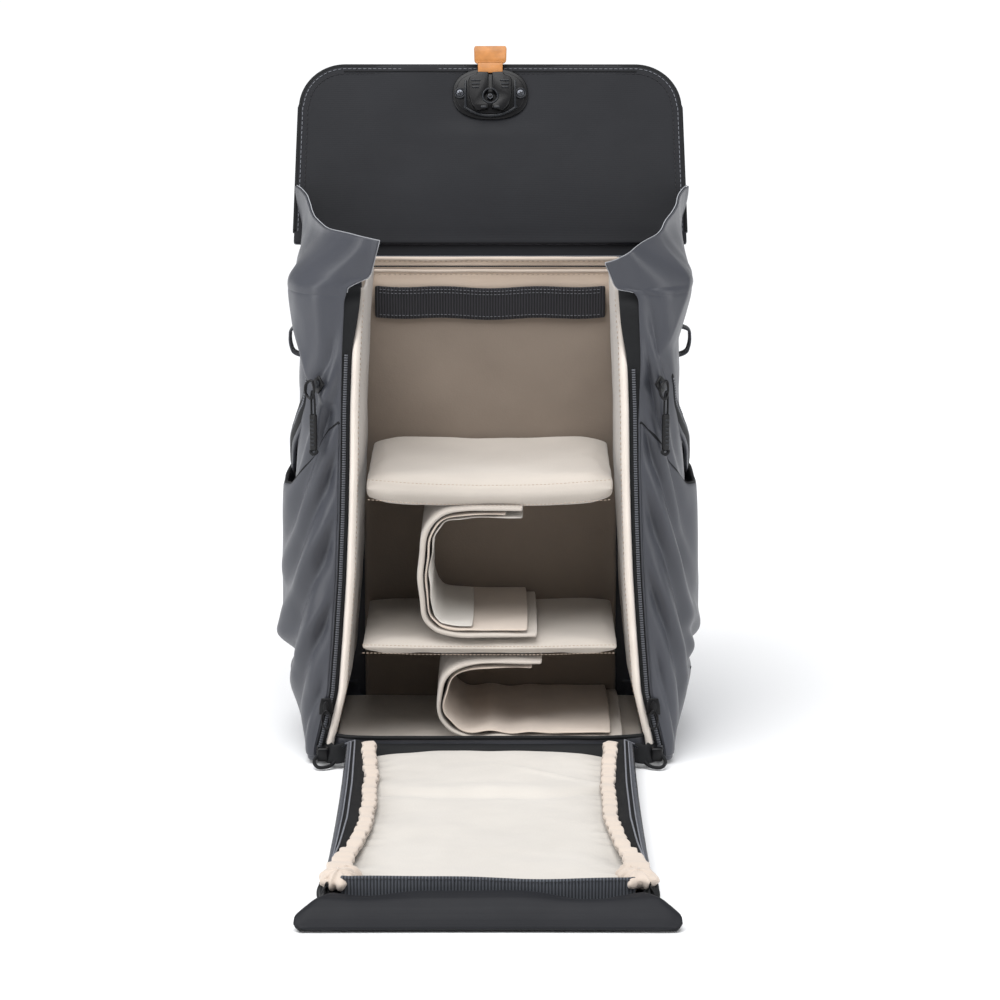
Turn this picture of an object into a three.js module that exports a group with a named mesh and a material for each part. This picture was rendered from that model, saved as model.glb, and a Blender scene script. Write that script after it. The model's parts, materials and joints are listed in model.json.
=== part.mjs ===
// Drone carrying backpack, standing on its base with its top flap open and its front panel
// unzipped and laid on the floor. Millimetres, +Z up. The open front faces -Y and the shoulder
// straps are on +Y. "left" names are on -X, the left-hand side of the case seen from its front.
// The origin is the middle of the underside of the base.
import * as THREE from "three";

// Driving dimensions
const GAP = 0.4; // space kept between touching pieces
const FABRIC = 2; // one layer of coated fabric
const FRONT_Y = -100; // front edge of the side walls
const BACK_Y = 84; // outer face of the back wall
const BACK_HALF = 152; // half width of the back wall
const RIM_Z = 400; // top of the side walls
const HINGE_Z = 410; // top flap's sewn hinge
const HINGE_Y = 82;
const PANEL_AXIS_Y = -111; // fold line of the front panel
const PANEL_AXIS_Z = 30;
const PANEL_LENGTH = 371;
const PANEL_HALF = 120;
const TONGUE_LENGTH = 26;
const FLAP_LENGTH = 167;
const FLAP_HALF = 171;
const FLAP_LEAN = -0.43; // radians, the open flap leans back
const PAD_T = 7; // padded side wall
const TAPE = 7; // fabric between the padded wall and the zip

const root = new THREE.Group();

// ---------------------------------------------------------------- materials
const paint = (hex, roughness, metalness = 0) =>
  new THREE.MeshStandardMaterial({ color: hex, roughness, metalness });
const shellFabric = paint(0x5d616a, 0.6);
const flapFabric = paint(0x3b3c40, 0.65);
const liningFabric = paint(0xe8ded2, 0.9);
const webbing = paint(0x2b2c31, 0.85);
const mesh3d = paint(0x34363b, 0.95);
const blackPlastic = paint(0x17181b, 0.35);
const leather = paint(0xdd9f5c, 0.55);
const board = paint(0x77797c, 0.5);
const steel = paint(0x2a2b2e, 0.3, 0.9);

// ---------------------------------------------------------------- shape helpers
function add(name, geometry, material, parent = root) {
  geometry.computeVertexNormals();
  const made = new THREE.Mesh(geometry, material);
  made.name = name;
  parent.add(made);
  return made;
}

// Piecewise linear value of z in a table of [z, value] pairs.
function lookup(table, z) {
  if (z <= table[0][0]) return table[0][1];
  for (let i = 1; i < table.length; i++) {
    const [z1, v1] = table[i];
    const [z0, v0] = table[i - 1];
    if (z <= z1) return v0 + ((v1 - v0) * (z - z0)) / (z1 - z0);
  }
  return table[table.length - 1][1];
}

function box(x0, x1, y0, y1, z0, z1) {
  const made = new THREE.BoxGeometry(x1 - x0, y1 - y0, z1 - z0);
  return made.translate((x0 + x1) / 2, (y0 + y1) / 2, (z0 + z1) / 2);
}

const flat = { bevelEnabled: false, curveSegments: 6 };

// A shape through corner points given as [a, b] pairs.
function polygon(points) {
  return new THREE.Shape(points.map(([a, b]) => new THREE.Vector2(a, b)));
}

// A shape drawn in X and Y, extruded upwards from z0 to z1.
function extrudeUp(shape, z0, z1) {
  return new THREE.ExtrudeGeometry(shape, { ...flat, depth: z1 - z0 }).translate(0, 0, z0);
}

// A shape drawn in X and Z, extruded along Y from y0 to y1.
function extrudeDeep(shape, y0, y1) {
  const made = new THREE.ExtrudeGeometry(shape, { ...flat, depth: y1 - y0 });
  return made.rotateX(Math.PI / 2).translate(0, y1, 0);
}

function roundedRect(x0, x1, y0, y1, r) {
  const s = new THREE.Shape();
  s.moveTo(x0 + r, y0);
  s.lineTo(x1 - r, y0);
  s.absarc(x1 - r, y0 + r, r, -Math.PI / 2, 0);
  s.lineTo(x1, y1 - r);
  s.absarc(x1 - r, y1 - r, r, 0, Math.PI / 2);
  s.lineTo(x0 + r, y1);
  s.absarc(x0 + r, y1 - r, r, Math.PI / 2, Math.PI);
  s.lineTo(x0, y0 + r);
  s.absarc(x0 + r, y0 + r, r, Math.PI, 1.5 * Math.PI);
  return s;
}

// The two edges of a ribbon of that thickness, centred on a smooth line through flat points.
function ribbonShape(points, thickness, steps) {
  const curve = new THREE.SplineCurve(points.map(([a, b]) => new THREE.Vector2(a, b)));
  const left = [];
  const right = [];
  for (let i = 0; i <= steps; i++) {
    const p = curve.getPoint(i / steps);
    const d = curve.getTangent(i / steps);
    const n = new THREE.Vector2(-d.y, d.x).multiplyScalar(thickness / 2);
    left.push(p.clone().add(n));
    right.push(p.clone().sub(n));
  }
  return new THREE.Shape([...left, ...right.reverse()]);
}

// A closed solid skinned over rings of equal length, with flat ends.
function skin(rings) {
  const n = rings[0].length;
  const position = rings.flat().flatMap((p) => [p.x, p.y, p.z]);
  const index = [];
  for (let r = 0; r + 1 < rings.length; r++)
    for (let i = 0; i < n; i++) {
      const a = r * n + i;
      const b = r * n + ((i + 1) % n);
      index.push(a, b, b + n, a, b + n, a + n);
    }
  const cap = (ring, base, reversed) => {
    const c = ring.reduce((s, p) => s.add(p), new THREE.Vector3()).divideScalar(n);
    const normal = new THREE.Vector3();
    ring.forEach((p, i) =>
      normal.add(p.clone().sub(c).cross(ring[(i + 1) % n].clone().sub(c))),
    );
    normal.normalize();
    const u = ring[0].clone().sub(ring[1]).normalize();
    const v = normal.clone().cross(u);
    const flatRing = ring.map((p) => new THREE.Vector2(p.dot(u), p.dot(v)));
    for (const [a, b, d] of THREE.ShapeUtils.triangulateShape(flatRing, [])) {
      const [second, third] = reversed ? [d, b] : [b, d];
      index.push(base + a, base + second, base + third);
    }
  };
  cap(rings[0], 0, true);
  cap(rings[rings.length - 1], (rings.length - 1) * n, false);
  if (signedVolume(position, index) < 0) index.reverse();
  const made = new THREE.BufferGeometry();
  made.setAttribute("position", new THREE.Float32BufferAttribute(position, 3));
  made.setIndex(index);
  return made;
}

function signedVolume(position, index) {
  const p = (i) => new THREE.Vector3().fromArray(position, 3 * i);
  let sum = 0;
  for (let i = 0; i < index.length; i += 3)
    sum += p(index[i]).dot(p(index[i + 1]).cross(p(index[i + 2])));
  return sum;
}

const v3 = (x, y, z) => new THREE.Vector3(x, y, z);

// ---------------------------------------------------------------- body outline
// Half widths against height: the zip line, and the widest line of the side walls.
const ZIP_X = [[0, 147], [24, 141], [58, 132], [142, 125], [226, 121], [327, 119], [400, 114]];
const SIDE_X = [
  [0, 154], [40, 161], [90, 166], [150, 165], [220, 162],
  [300, 156], [330, 157], [365, 163], [400, 169],
];
const zipX = (z) => lookup(ZIP_X, z);
const sideX = (z) => lookup(SIDE_X, z);

// The side wall's section at one height: a smooth line from the zip, round the side, to the back.
function sideCurve(z, grow = 0) {
  const zx = zipX(z);
  const sx = sideX(z) + grow;
  return new THREE.CatmullRomCurve3([
    v3(zx + 1, FRONT_Y - grow, z),
    v3(zx + 0.6 * (sx - zx), FRONT_Y + 7 - grow, z),
    v3(sx - 4, FRONT_Y + 30, z),
    v3(sx, FRONT_Y + 70, z),
    v3(sx, 20, z),
    v3(sx - 3, 55, z),
    v3(BACK_HALF + 2 + grow, BACK_Y, z),
  ]);
}

// A ring of the wall at one height, between two places along the section.
function wallRing(z, side, from, to, steps, thickness, grow) {
  const curve = sideCurve(z, grow);
  const outer = [];
  const inner = [];
  for (let i = 0; i <= steps; i++) {
    const t = from + ((to - from) * i) / steps;
    const p = curve.getPoint(t);
    const d = curve.getTangent(t);
    const n = v3(-d.y, d.x, 0).normalize().multiplyScalar(thickness);
    outer.push(v3(side * p.x, p.y, z));
    inner.push(v3(side * (p.x + n.x), p.y + n.y, z));
  }
  return [...outer, ...inner.reverse()];
}

function levels(from, to, count) {
  return Array.from({ length: count + 1 }, (_, i) => from + ((to - from) * i) / count);
}

// ---------------------------------------------------------------- base and back
function makeBase() {
  // section in Y and Z: the flat base and the low sill along its front edge
  const tray = polygon([[-107, 0], [84, 0], [84, 6], [-103, 6], [-103, 26], [-107, 26]]);
  const made = new THREE.ExtrudeGeometry(tray, { ...flat, depth: 272 });
  made.applyMatrix4(new THREE.Matrix4().makeBasis(v3(0, 1, 0), v3(0, 0, 1), v3(1, 0, 0)));
  add("base_panel", made.translate(-136, 0, 0), shellFabric);
  add("base_lining", box(-130, 130, -98, 65.6, 6 + GAP, 16), liningFabric);
}

function makeBack() {
  const halfTop = BACK_HALF - 4;
  const shell = roundedRect(-halfTop, halfTop, 6 + GAP, 405.5, 14);
  add("back_shell", extrudeDeep(shell, 80, BACK_Y), shellFabric);
  const sheet = roundedRect(-138, 138, 10, 402, 20);
  add("back_board", extrudeDeep(sheet, 76.5, 79.6), board);
  const lining = roundedRect(-135, 135, 6 + GAP, 405, 10);
  add("back_lining", extrudeDeep(lining, 66, 76), liningFabric);
  add("back_webbing", box(-99.5, 99.5, 63.5, 65.6, 352, 380), webbing);
  for (const [name, side] of [["left", -1], ["right", 1]]) {
    const lo = side < 0 ? -128 : 14;
    const pad = roundedRect(lo, lo + 114, 130, 364, 26);
    add(`back_pad_${name}`, extrudeDeep(pad, BACK_Y + GAP, BACK_Y + 14), mesh3d);
  }
  const lumbar = roundedRect(-126, 126, 28, 118, 30);
  add("lumbar_pad", extrudeDeep(lumbar, BACK_Y + GAP, BACK_Y + 16), mesh3d);
}

// ---------------------------------------------------------------- sides
function makeSide(name, side) {
  const shellRings = levels(6 + GAP, RIM_Z, 13).map((z) => wallRing(z, side, 0, 0.985, 11, 4, 0));
  add(`side_shell_${name}`, skin(shellRings), shellFabric);

  // padded inner wall, following the zip line
  const padIn = (z) => zipX(z) - TAPE - PAD_T;
  const rows = levels(16.5, 398, 8);
  const wall = polygon([
    ...rows.map((z) => [side * padIn(z), z]),
    ...rows.reverse().map((z) => [side * (padIn(z) + PAD_T), z]),
  ]);
  add(`side_pad_${name}`, extrudeDeep(wall, FRONT_Y - 1, 65), liningFabric);

  // zip chain along the front edge
  const chain = levels(14, 398, 8);
  const strip = polygon([
    ...chain.map((z) => [side * (zipX(z) - 5), z]),
    ...chain.reverse().map((z) => [side * (zipX(z) + 1.5), z]),
  ]);
  add(`main_zip_${name}`, extrudeDeep(strip, FRONT_Y - 3, FRONT_Y - GAP), blackPlastic);

  makeWing(name, side);
  makePocket(name, side);
  makeLoop(name, side);
  makeSideZip(name, side);
}

// The collar above the rim: it wraps from the front corner round the side to the flap.
const WING_TOP = { left: [[0, 442], [0.5, 446], [0.75, 451], [0.95, 462], [1, 464]] };
WING_TOP.right = [[0, 426], [0.3, 440], [0.5, 446], [0.75, 451], [0.95, 462], [1, 464]];
function makeWing(name, side) {
  const path = new THREE.CatmullRomCurve3([
    v3(94, FRONT_Y - 3.5, 0), v3(124, FRONT_Y - 3, 0), v3(154, FRONT_Y + 8, 0),
    v3(170, FRONT_Y + 32, 0), v3(174.5, -20, 0), v3(175, 30, 0), v3(175.5, 76, 0),
  ]);
  const rings = levels(0, 1, 13).map((t) => {
    const p = path.getPoint(t);
    const d = path.getTangent(t);
    const n = v3(-d.y, d.x, 0).normalize().multiplyScalar(FABRIC);
    const top = lookup(WING_TOP[name], t);
    const bottom = RIM_Z + GAP;
    const back = lookup([[0.6, 0], [1, 24]], t); // the rear edge follows the leaning flap
    return [
      v3(side * p.x, p.y, bottom), v3(side * p.x, p.y + back, top),
      v3(side * (p.x + n.x), p.y + n.y + back, top), v3(side * (p.x + n.x), p.y + n.y, bottom),
    ];
  });
  add(`side_wing_${name}`, skin(rings), shellFabric);
}

// A pocket on the lower side, closed at its foot and standing open at its top edge.
const POCKET_FOOT = 30;
const POCKET_TOP = 226;
const POCKET_OUT = [[30, 3.5], [80, 10], [120, 11], [226, 12]];
function makePocket(name, side) {
  const rings = levels(POCKET_FOOT, POCKET_TOP, 6).map((z) =>
    wallRing(z, side, 0.24, 0.9, 8, FABRIC, lookup(POCKET_OUT, z)),
  );
  add(`side_pocket_${name}`, skin(rings), shellFabric);
}

function makeLoop(name, side) {
  const path = [[162.6, 354], [167.5, 350], [169, 342], [166, 332], [159.4, 329]];
  const shape = ribbonShape(path.map(([a, b]) => [side * a, b]), 2.4, 10);
  add(`side_loop_${name}`, extrudeDeep(shape, -4, 14), webbing);
}

// Side access zip: a chain standing proud of the side in two runs, its slider and hanging pull.
const SIDE_ZIP_TOP = v3(133.4, -99.5, 325);
const SIDE_ZIP_BEND = v3(166, -50, 279);
const SIDE_ZIP_END = v3(171, 14, 231);
const OUTWARD = v3(0.6, -0.8, 0);

// A four-sided ring round a point, given its two half sizes as vectors.
function squareRing(centre, wide, deep) {
  return [[-1, -1], [1, -1], [1, 1], [-1, 1]].map(([w, d]) =>
    centre.clone().add(wide.clone().multiplyScalar(w)).add(deep.clone().multiplyScalar(d)),
  );
}

function makeSideZip(name, side) {
  const along = SIDE_ZIP_BEND.clone().sub(SIDE_ZIP_TOP).normalize();
  const out = OUTWARD.clone().sub(along.clone().multiplyScalar(OUTWARD.dot(along))).normalize();
  const across = along.clone().cross(out);
  const at = (mm, lift) =>
    SIDE_ZIP_TOP.clone().add(along.clone().multiplyScalar(mm)).add(out.clone().multiplyScalar(lift));
  const mirrored = (ring) => ring.map((p) => v3(side * p.x, p.y, p.z));
  const bar = (from, to, halfWide, low, high) => {
    const wide = across.clone().multiplyScalar(halfWide);
    const deep = out.clone().multiplyScalar((high - low) / 2);
    const mid = (low + high) / 2;
    return skin([from, to].map((mm) => mirrored(squareRing(at(mm, mid), wide, deep))));
  };
  const lower = SIDE_ZIP_END.clone().sub(SIDE_ZIP_BEND).normalize();
  const chain = [
    [at(-6, 5.2), across, out],
    [at(30, 5.2), across, out],
    [SIDE_ZIP_BEND.clone().add(v3(3.2, -1.4, 0)), across, out],
    [SIDE_ZIP_END.clone().add(v3(3.3, 0, 0)), lower.clone().cross(v3(1, 0, 0)), v3(1, 0, 0)],
  ].map(([centre, wide, deep]) => {
    const w = wide.clone().multiplyScalar(2.8);
    return mirrored(squareRing(centre, w, deep.clone().multiplyScalar(0.9)));
  });
  add(`side_zip_${name}`, skin(chain), blackPlastic);
  add(`side_slider_${name}`, bar(-3, 9, 5, 6.2, 9.4), blackPlastic);

  // the pull hangs plumb from the slider: a cord, then a sleeve
  const hang = at(3, 11.8);
  const sideways = v3(-OUTWARD.y, OUTWARD.x, 0);
  const rings = [[3, 1.2, 1.2], [-26, 1.2, 1.2], [-28, 3.2, 1.5], [-56, 3.2, 1.5]].map(
    ([drop, halfWide, halfDeep]) => {
      const centre = v3(hang.x, hang.y, hang.z + drop);
      const wide = sideways.clone().multiplyScalar(halfWide);
      return mirrored(squareRing(centre, wide, OUTWARD.clone().multiplyScalar(halfDeep)));
    },
  );
  add(`side_pull_${name}`, skin(rings), blackPlastic);
}

// Front zip slider, parked at the foot of its chain.
function makeMainSlider(name, side) {
  const x = side * 136;
  const y1 = FRONT_Y - 3 - GAP;
  const body = polygon([[x - 6, 44], [x + 6, 44], [x + 4, 58], [x - 4, 58]]);
  add(`main_slider_${name}`, extrudeDeep(body, y1 - 3.6, y1), blackPlastic);
}

// ---------------------------------------------------------------- dividers
// Two shelves, and two folded pads that hold the pieces carried on them.
const GOGGLE_PAD = [
  [28, 215.5], [-18, 215.5], [-42, 210], [-53, 193], [-57, 164], [-56, 136], [-50, 118], [-30, 109],
  [40, 108.4],
];
const CONTROLLER_PAD = [
  [44, 84.5], [2, 84.5], [-24, 81], [-38, 68], [-42, 51], [-38, 34], [-24, 22.5], [20, 20.2], [112, 20.2],
];
function makeDividers() {
  const front = FRONT_Y + 5;
  const upper = roundedRect(-105.5, 105.5, 221, 245, 9);
  const lower = roundedRect(-111, 111, 93, 103, 4.5);
  add("divider_upper", extrudeDeep(upper, front, 65), liningFabric);
  add("divider_lower", extrudeDeep(lower, front, 65), liningFabric);
  const goggles = ribbonShape(GOGGLE_PAD, 9, 20);
  const controller = ribbonShape(CONTROLLER_PAD, 7, 20);
  add("divider_goggles", extrudeDeep(goggles, front + 3, 60), liningFabric);
  add("divider_controller", extrudeDeep(controller, front + 3, 60), liningFabric);
}

// ---------------------------------------------------------------- carrying straps
function strapRings(path, halfWidths, thickness) {
  const curve = new THREE.CatmullRomCurve3(path.map(([x, y, z]) => v3(x, y, z)));
  const count = 12;
  return levels(0, 1, count).map((t) => {
    const p = curve.getPoint(t);
    const d = curve.getTangent(t);
    const n = v3(0, -d.z, d.y).normalize().multiplyScalar(thickness / 2);
    const w = v3(lookup(halfWidths, t), 0, 0);
    return [
      p.clone().sub(w).sub(n), p.clone().add(w).sub(n),
      p.clone().add(w).add(n), p.clone().sub(w).add(n),
    ];
  });
}

const HANDLE = [[-46, 86], [-42, 104], [-24, 114], [24, 114], [42, 104], [46, 86]];
const SHOULDER = [
  [52, 92, 376], [54, 114, 366], [60, 134, 330], [74, 140, 260], [84, 134, 190], [86, 122, 138],
];
const SHOULDER_HALF = [[0, 20], [0.25, 31], [0.7, 27], [1, 17]];
const STRAP_TAIL = [[86, 118, 112], [88, 112, 80], [92, 106, 46], [95, 103.5, 24]];
function makeStraps() {
  add("top_handle", extrudeUp(ribbonShape(HANDLE, 4, 14), 386, 408), webbing);
  for (const [name, side] of [["left", -1], ["right", 1]]) {
    const mirror = (path) => path.map(([x, y, z]) => [side * x, y, z]);
    const strap = strapRings(mirror(SHOULDER), SHOULDER_HALF, 11);
    add(`shoulder_strap_${name}`, skin(strap), mesh3d);
    const tail = strapRings(mirror(STRAP_TAIL), [[0, 12], [1, 12]], 2);
    add(`strap_webbing_${name}`, skin(tail), webbing);
    const cx = side * 86;
    add(`strap_buckle_${name}`, box(cx - 16, cx + 16, 112.5, 123, 114, 128), blackPlastic);
  }
  const sternum = ribbonShape([[-58, 148], [-30, 152], [30, 152], [58, 148]], 2, 8);
  add("sternum_strap", extrudeUp(sternum, 262, 282), webbing);
  add("sternum_buckle", extrudeUp(roundedRect(-19, 19, 153.6, 162, 3), 257, 287), blackPlastic);
}

// ---------------------------------------------------------------- front panel, open on the floor
function makeFrontPanel() {
  const near = PANEL_AXIS_Y - PANEL_LENGTH;
  const far = PANEL_AXIS_Y - 0.8;
  add("panel_outer", box(-PANEL_HALF, PANEL_HALF, near, far, 3, 5), shellFabric);
  const lining = roundedRect(-111, 111, near + 16, far - 2, 12);
  add("panel_lining", extrudeUp(lining, 5 + GAP, 22), liningFabric);
  for (const [name, side] of [["left", -1], ["right", 1]]) {
    const wall = side < 0 ? [-PANEL_HALF, -PANEL_HALF + 4] : [PANEL_HALF - 4, PANEL_HALF];
    add(`panel_gusset_${name}`, box(...wall, near, far, 5 + GAP, 24), flapFabric);
    const chain = side < 0 ? [-PANEL_HALF, -PANEL_HALF + 6.5] : [PANEL_HALF - 6.5, PANEL_HALF];
    add(`panel_zip_${name}`, box(...chain, near, far, 24 + GAP, 27.5), blackPlastic);
  }
  add("panel_webbing", box(-106, 106, near + 2, near + 14, 7.4, 30), webbing);
  add("latch_receiver", extrudeUp(roundedRect(-26, 26, near + 26, near + 74, 8), 0, 3 - GAP), steel);

  // the tongue beyond the webbing, sloping down to the floor
  const ring = ([run, z, half]) =>
    squareRing(v3(0, near - run, z + 1.5), v3(half, 0, 0), v3(0, 0, 1.5));
  const steps = [[0.8, 22, 119], [8, 18, 129], [19, 6, 138], [TONGUE_LENGTH, 0.3, 138]];
  add("front_tongue", skin(steps.map(ring)), flapFabric);
}

// ---------------------------------------------------------------- top flap, standing open
// Drawn in its own frame: local Z runs up the flap from the hinge, local -Y is its inner face.
function flapShape(grow) {
  const lowHalf = FLAP_HALF + grow;
  const topHalf = FLAP_HALF - 4 + grow;
  const top = FLAP_LENGTH + grow;
  const r = 40;
  const s = new THREE.Shape();
  s.moveTo(-lowHalf, 2 - grow);
  s.lineTo(lowHalf, 2 - grow);
  s.lineTo(topHalf, top - r);
  s.absarc(topHalf - r, top - r, r, 0, Math.PI / 2);
  s.lineTo(-topHalf + r, top);
  s.absarc(-topHalf + r, top - r, r, Math.PI / 2, Math.PI);
  return s;
}

function makeFlap() {
  const flap = new THREE.Group();
  flap.position.set(0, HINGE_Y, HINGE_Z);
  flap.rotation.x = FLAP_LEAN;
  root.add(flap);
  add("flap_outer", extrudeDeep(flapShape(0), 0.9, 0.9 + FABRIC), shellFabric, flap);
  add("flap_board", extrudeDeep(flapShape(-8), -0.9, 0.5), board, flap);
  add("flap_inner", extrudeDeep(flapShape(0), -3.3, -1.3), flapFabric, flap);
  makeLatch(flap);
}

// Magnetic latch on the flap's inner face, with its sliding release and leather tab.
const LATCH_Z = 139;
const STUD_Z = LATCH_Z - 4;
const LATCH_TRAVEL = 4; // how far the leather tab draws the slider
function makeLatch(flap) {
  const base = new THREE.Shape();
  base.absellipse(0, LATCH_Z, 33, 24, 0, 2 * Math.PI);
  add("latch_base", extrudeDeep(base, -6.2, -3.7), blackPlastic, flap);
  for (const [name, x] of [["left", -26.5], ["right", 26.5]]) {
    const head = new THREE.CylinderGeometry(4, 4, 2, 16).translate(x, -7.6, LATCH_Z);
    add(`latch_screw_${name}`, head, steel, flap);
  }

  // the stud stays put inside the slider's slot, which is longer than the travel
  const body = roundedRect(-19.5, 19.5, LATCH_Z - 20, LATCH_Z + 19, 4);
  const slot = new THREE.Path();
  slot.absarc(0, STUD_Z + 1, 6.5, 0, Math.PI);
  slot.absarc(0, STUD_Z - 1 - LATCH_TRAVEL, 6.5, Math.PI, 2 * Math.PI);
  body.holes.push(slot);
  add("latch_slider", extrudeDeep(body, -13, -6.6), blackPlastic, flap);
  const stud = new THREE.CylinderGeometry(4.5, 4.5, 4.5, 16).translate(0, -8.85, STUD_Z);
  add("latch_stud", stud, steel, flap);

  // the leather tab meets the slider at its foot and stands proud of the flap's edge
  const foot = LATCH_Z + 19 + GAP;
  const tip = FLAP_LENGTH + 16;
  const tab = polygon([
    [-11, foot], [11, foot], [11, foot + 5], [14.5, foot + 9],
    [14, tip], [-14, tip], [-14.5, foot + 9], [-11, foot + 5],
  ]);
  add("leather_tab", extrudeDeep(tab, -9.4, -6.6), leather, flap);
}

makeBase();
makeBack();
for (const [name, side] of [["left", -1], ["right", 1]]) {
  makeSide(name, side);
  makeMainSlider(name, side);
}
makeDividers();
makeStraps();
makeFrontPanel();
makeFlap();

export default root;
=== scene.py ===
# Looks of the drone backpack: cloth, padding, zips, webbing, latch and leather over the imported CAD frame.
import json
import math
import random

import bpy
import numpy as np
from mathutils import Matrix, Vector, noise


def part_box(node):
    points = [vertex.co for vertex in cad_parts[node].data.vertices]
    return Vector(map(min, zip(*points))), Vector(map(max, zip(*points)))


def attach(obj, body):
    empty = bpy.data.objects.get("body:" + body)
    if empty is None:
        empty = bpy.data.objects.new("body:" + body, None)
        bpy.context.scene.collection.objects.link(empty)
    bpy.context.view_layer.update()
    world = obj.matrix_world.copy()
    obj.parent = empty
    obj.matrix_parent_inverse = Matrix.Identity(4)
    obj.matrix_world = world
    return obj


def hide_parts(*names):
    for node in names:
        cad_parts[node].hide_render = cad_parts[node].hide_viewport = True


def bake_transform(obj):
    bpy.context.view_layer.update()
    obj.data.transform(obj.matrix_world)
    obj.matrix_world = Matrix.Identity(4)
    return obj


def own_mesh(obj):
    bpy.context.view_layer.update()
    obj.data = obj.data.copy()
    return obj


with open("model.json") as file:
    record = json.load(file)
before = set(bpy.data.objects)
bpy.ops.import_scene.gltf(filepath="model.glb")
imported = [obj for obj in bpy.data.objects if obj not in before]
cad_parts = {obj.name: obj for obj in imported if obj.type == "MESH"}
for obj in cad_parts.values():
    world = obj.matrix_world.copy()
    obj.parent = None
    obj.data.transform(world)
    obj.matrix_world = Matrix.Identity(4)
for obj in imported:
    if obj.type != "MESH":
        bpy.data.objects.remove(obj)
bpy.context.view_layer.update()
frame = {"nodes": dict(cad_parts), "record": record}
random.seed(7)

MM = 0.001
SIDES = (("left", -1), ("right", 1))


# ------------------------------------------------------------------ places read from the frame
def levels_of(node, pick):
    """Pairs of height and value from the node's rings of vertices, sorted by height."""
    rings = {}
    for vertex in frame["nodes"][node].data.vertices:
        rings.setdefault(round(vertex.co.z, 4), []).append(vertex.co)
    return sorted((z, pick(ring)) for z, ring in rings.items())


def table(pairs):
    """A function that runs straight from one pair to the next."""
    xs = [a for a, _ in pairs]
    ys = [b for _, b in pairs]
    return lambda x: float(np.interp(x, xs, ys))


def smooth(edge0, edge1, x):
    t = min(1.0, max(0.0, (x - edge0) / (edge1 - edge0)))
    return t * t * (3 - 2 * t)


def bump(x, centre, width):
    """A bell of height 1 at the centre."""
    return math.exp(-(((x - centre) / width) ** 2))


def squared(value, power):
    """The value's size raised to the power, with its sign kept; this squares off ovals."""
    return math.copysign(abs(value) ** power, value)


def mm(x, y, z):
    return Vector((x * MM, y * MM, z * MM))


def catmull(a, b, c, d, t):
    """The Catmull-Rom point at share t between b and c."""
    linear = (2 * b) + (c - a) * t
    return 0.5 * (linear + (2 * a - 5 * b + 4 * c - d) * t * t + (3 * b - a - 3 * c + d) * t ** 3)


def direction_at(line, i):
    """The line's direction at its point i."""
    return (line[min(i + 1, len(line) - 1)] - line[max(i - 1, 0)]).normalized()


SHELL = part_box("side_shell_right")
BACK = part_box("back_shell")
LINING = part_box("back_lining")
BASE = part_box("base_panel")
FLOOR_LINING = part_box("base_lining")
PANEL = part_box("panel_outer")
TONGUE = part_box("front_tongue")
FRONT_Y = SHELL[0].y
BACK_Y = SHELL[1].y
RIM_Z = SHELL[1].z
zip_x = table(levels_of("main_zip_right", lambda ring: max(p.x for p in ring) - 1.5 * MM))
side_x = table(levels_of("side_shell_right", lambda ring: max(p.x for p in ring)))
pad_x = table(levels_of("side_pad_right", lambda ring: min(p.x for p in ring)))

JOINTS = {j["name"]: j for j in frame["record"]["behaviour"]["joints"]}
HINGE = Vector(JOINTS["top_flap_hinge"]["pos_m"])
FLAP_UP = Vector(JOINTS["latch_release_slide"]["axis"]).normalized()
FLAP_OUT = Vector((0, FLAP_UP.z, -FLAP_UP.y))


def on_flap(x, lift, up):
    """A point on the leaning flap: across, out from its middle plane, and up from the hinge."""
    return Vector((x, 0, 0)) + HINGE + FLAP_OUT * lift + FLAP_UP * up


# ------------------------------------------------------------------ materials
def srgb(r, g, b):
    def channel(v):
        v /= 255
        return v / 12.92 if v <= 0.04045 else ((v + 0.055) / 1.055) ** 2.4

    return (channel(r), channel(g), channel(b), 1.0)


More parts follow.
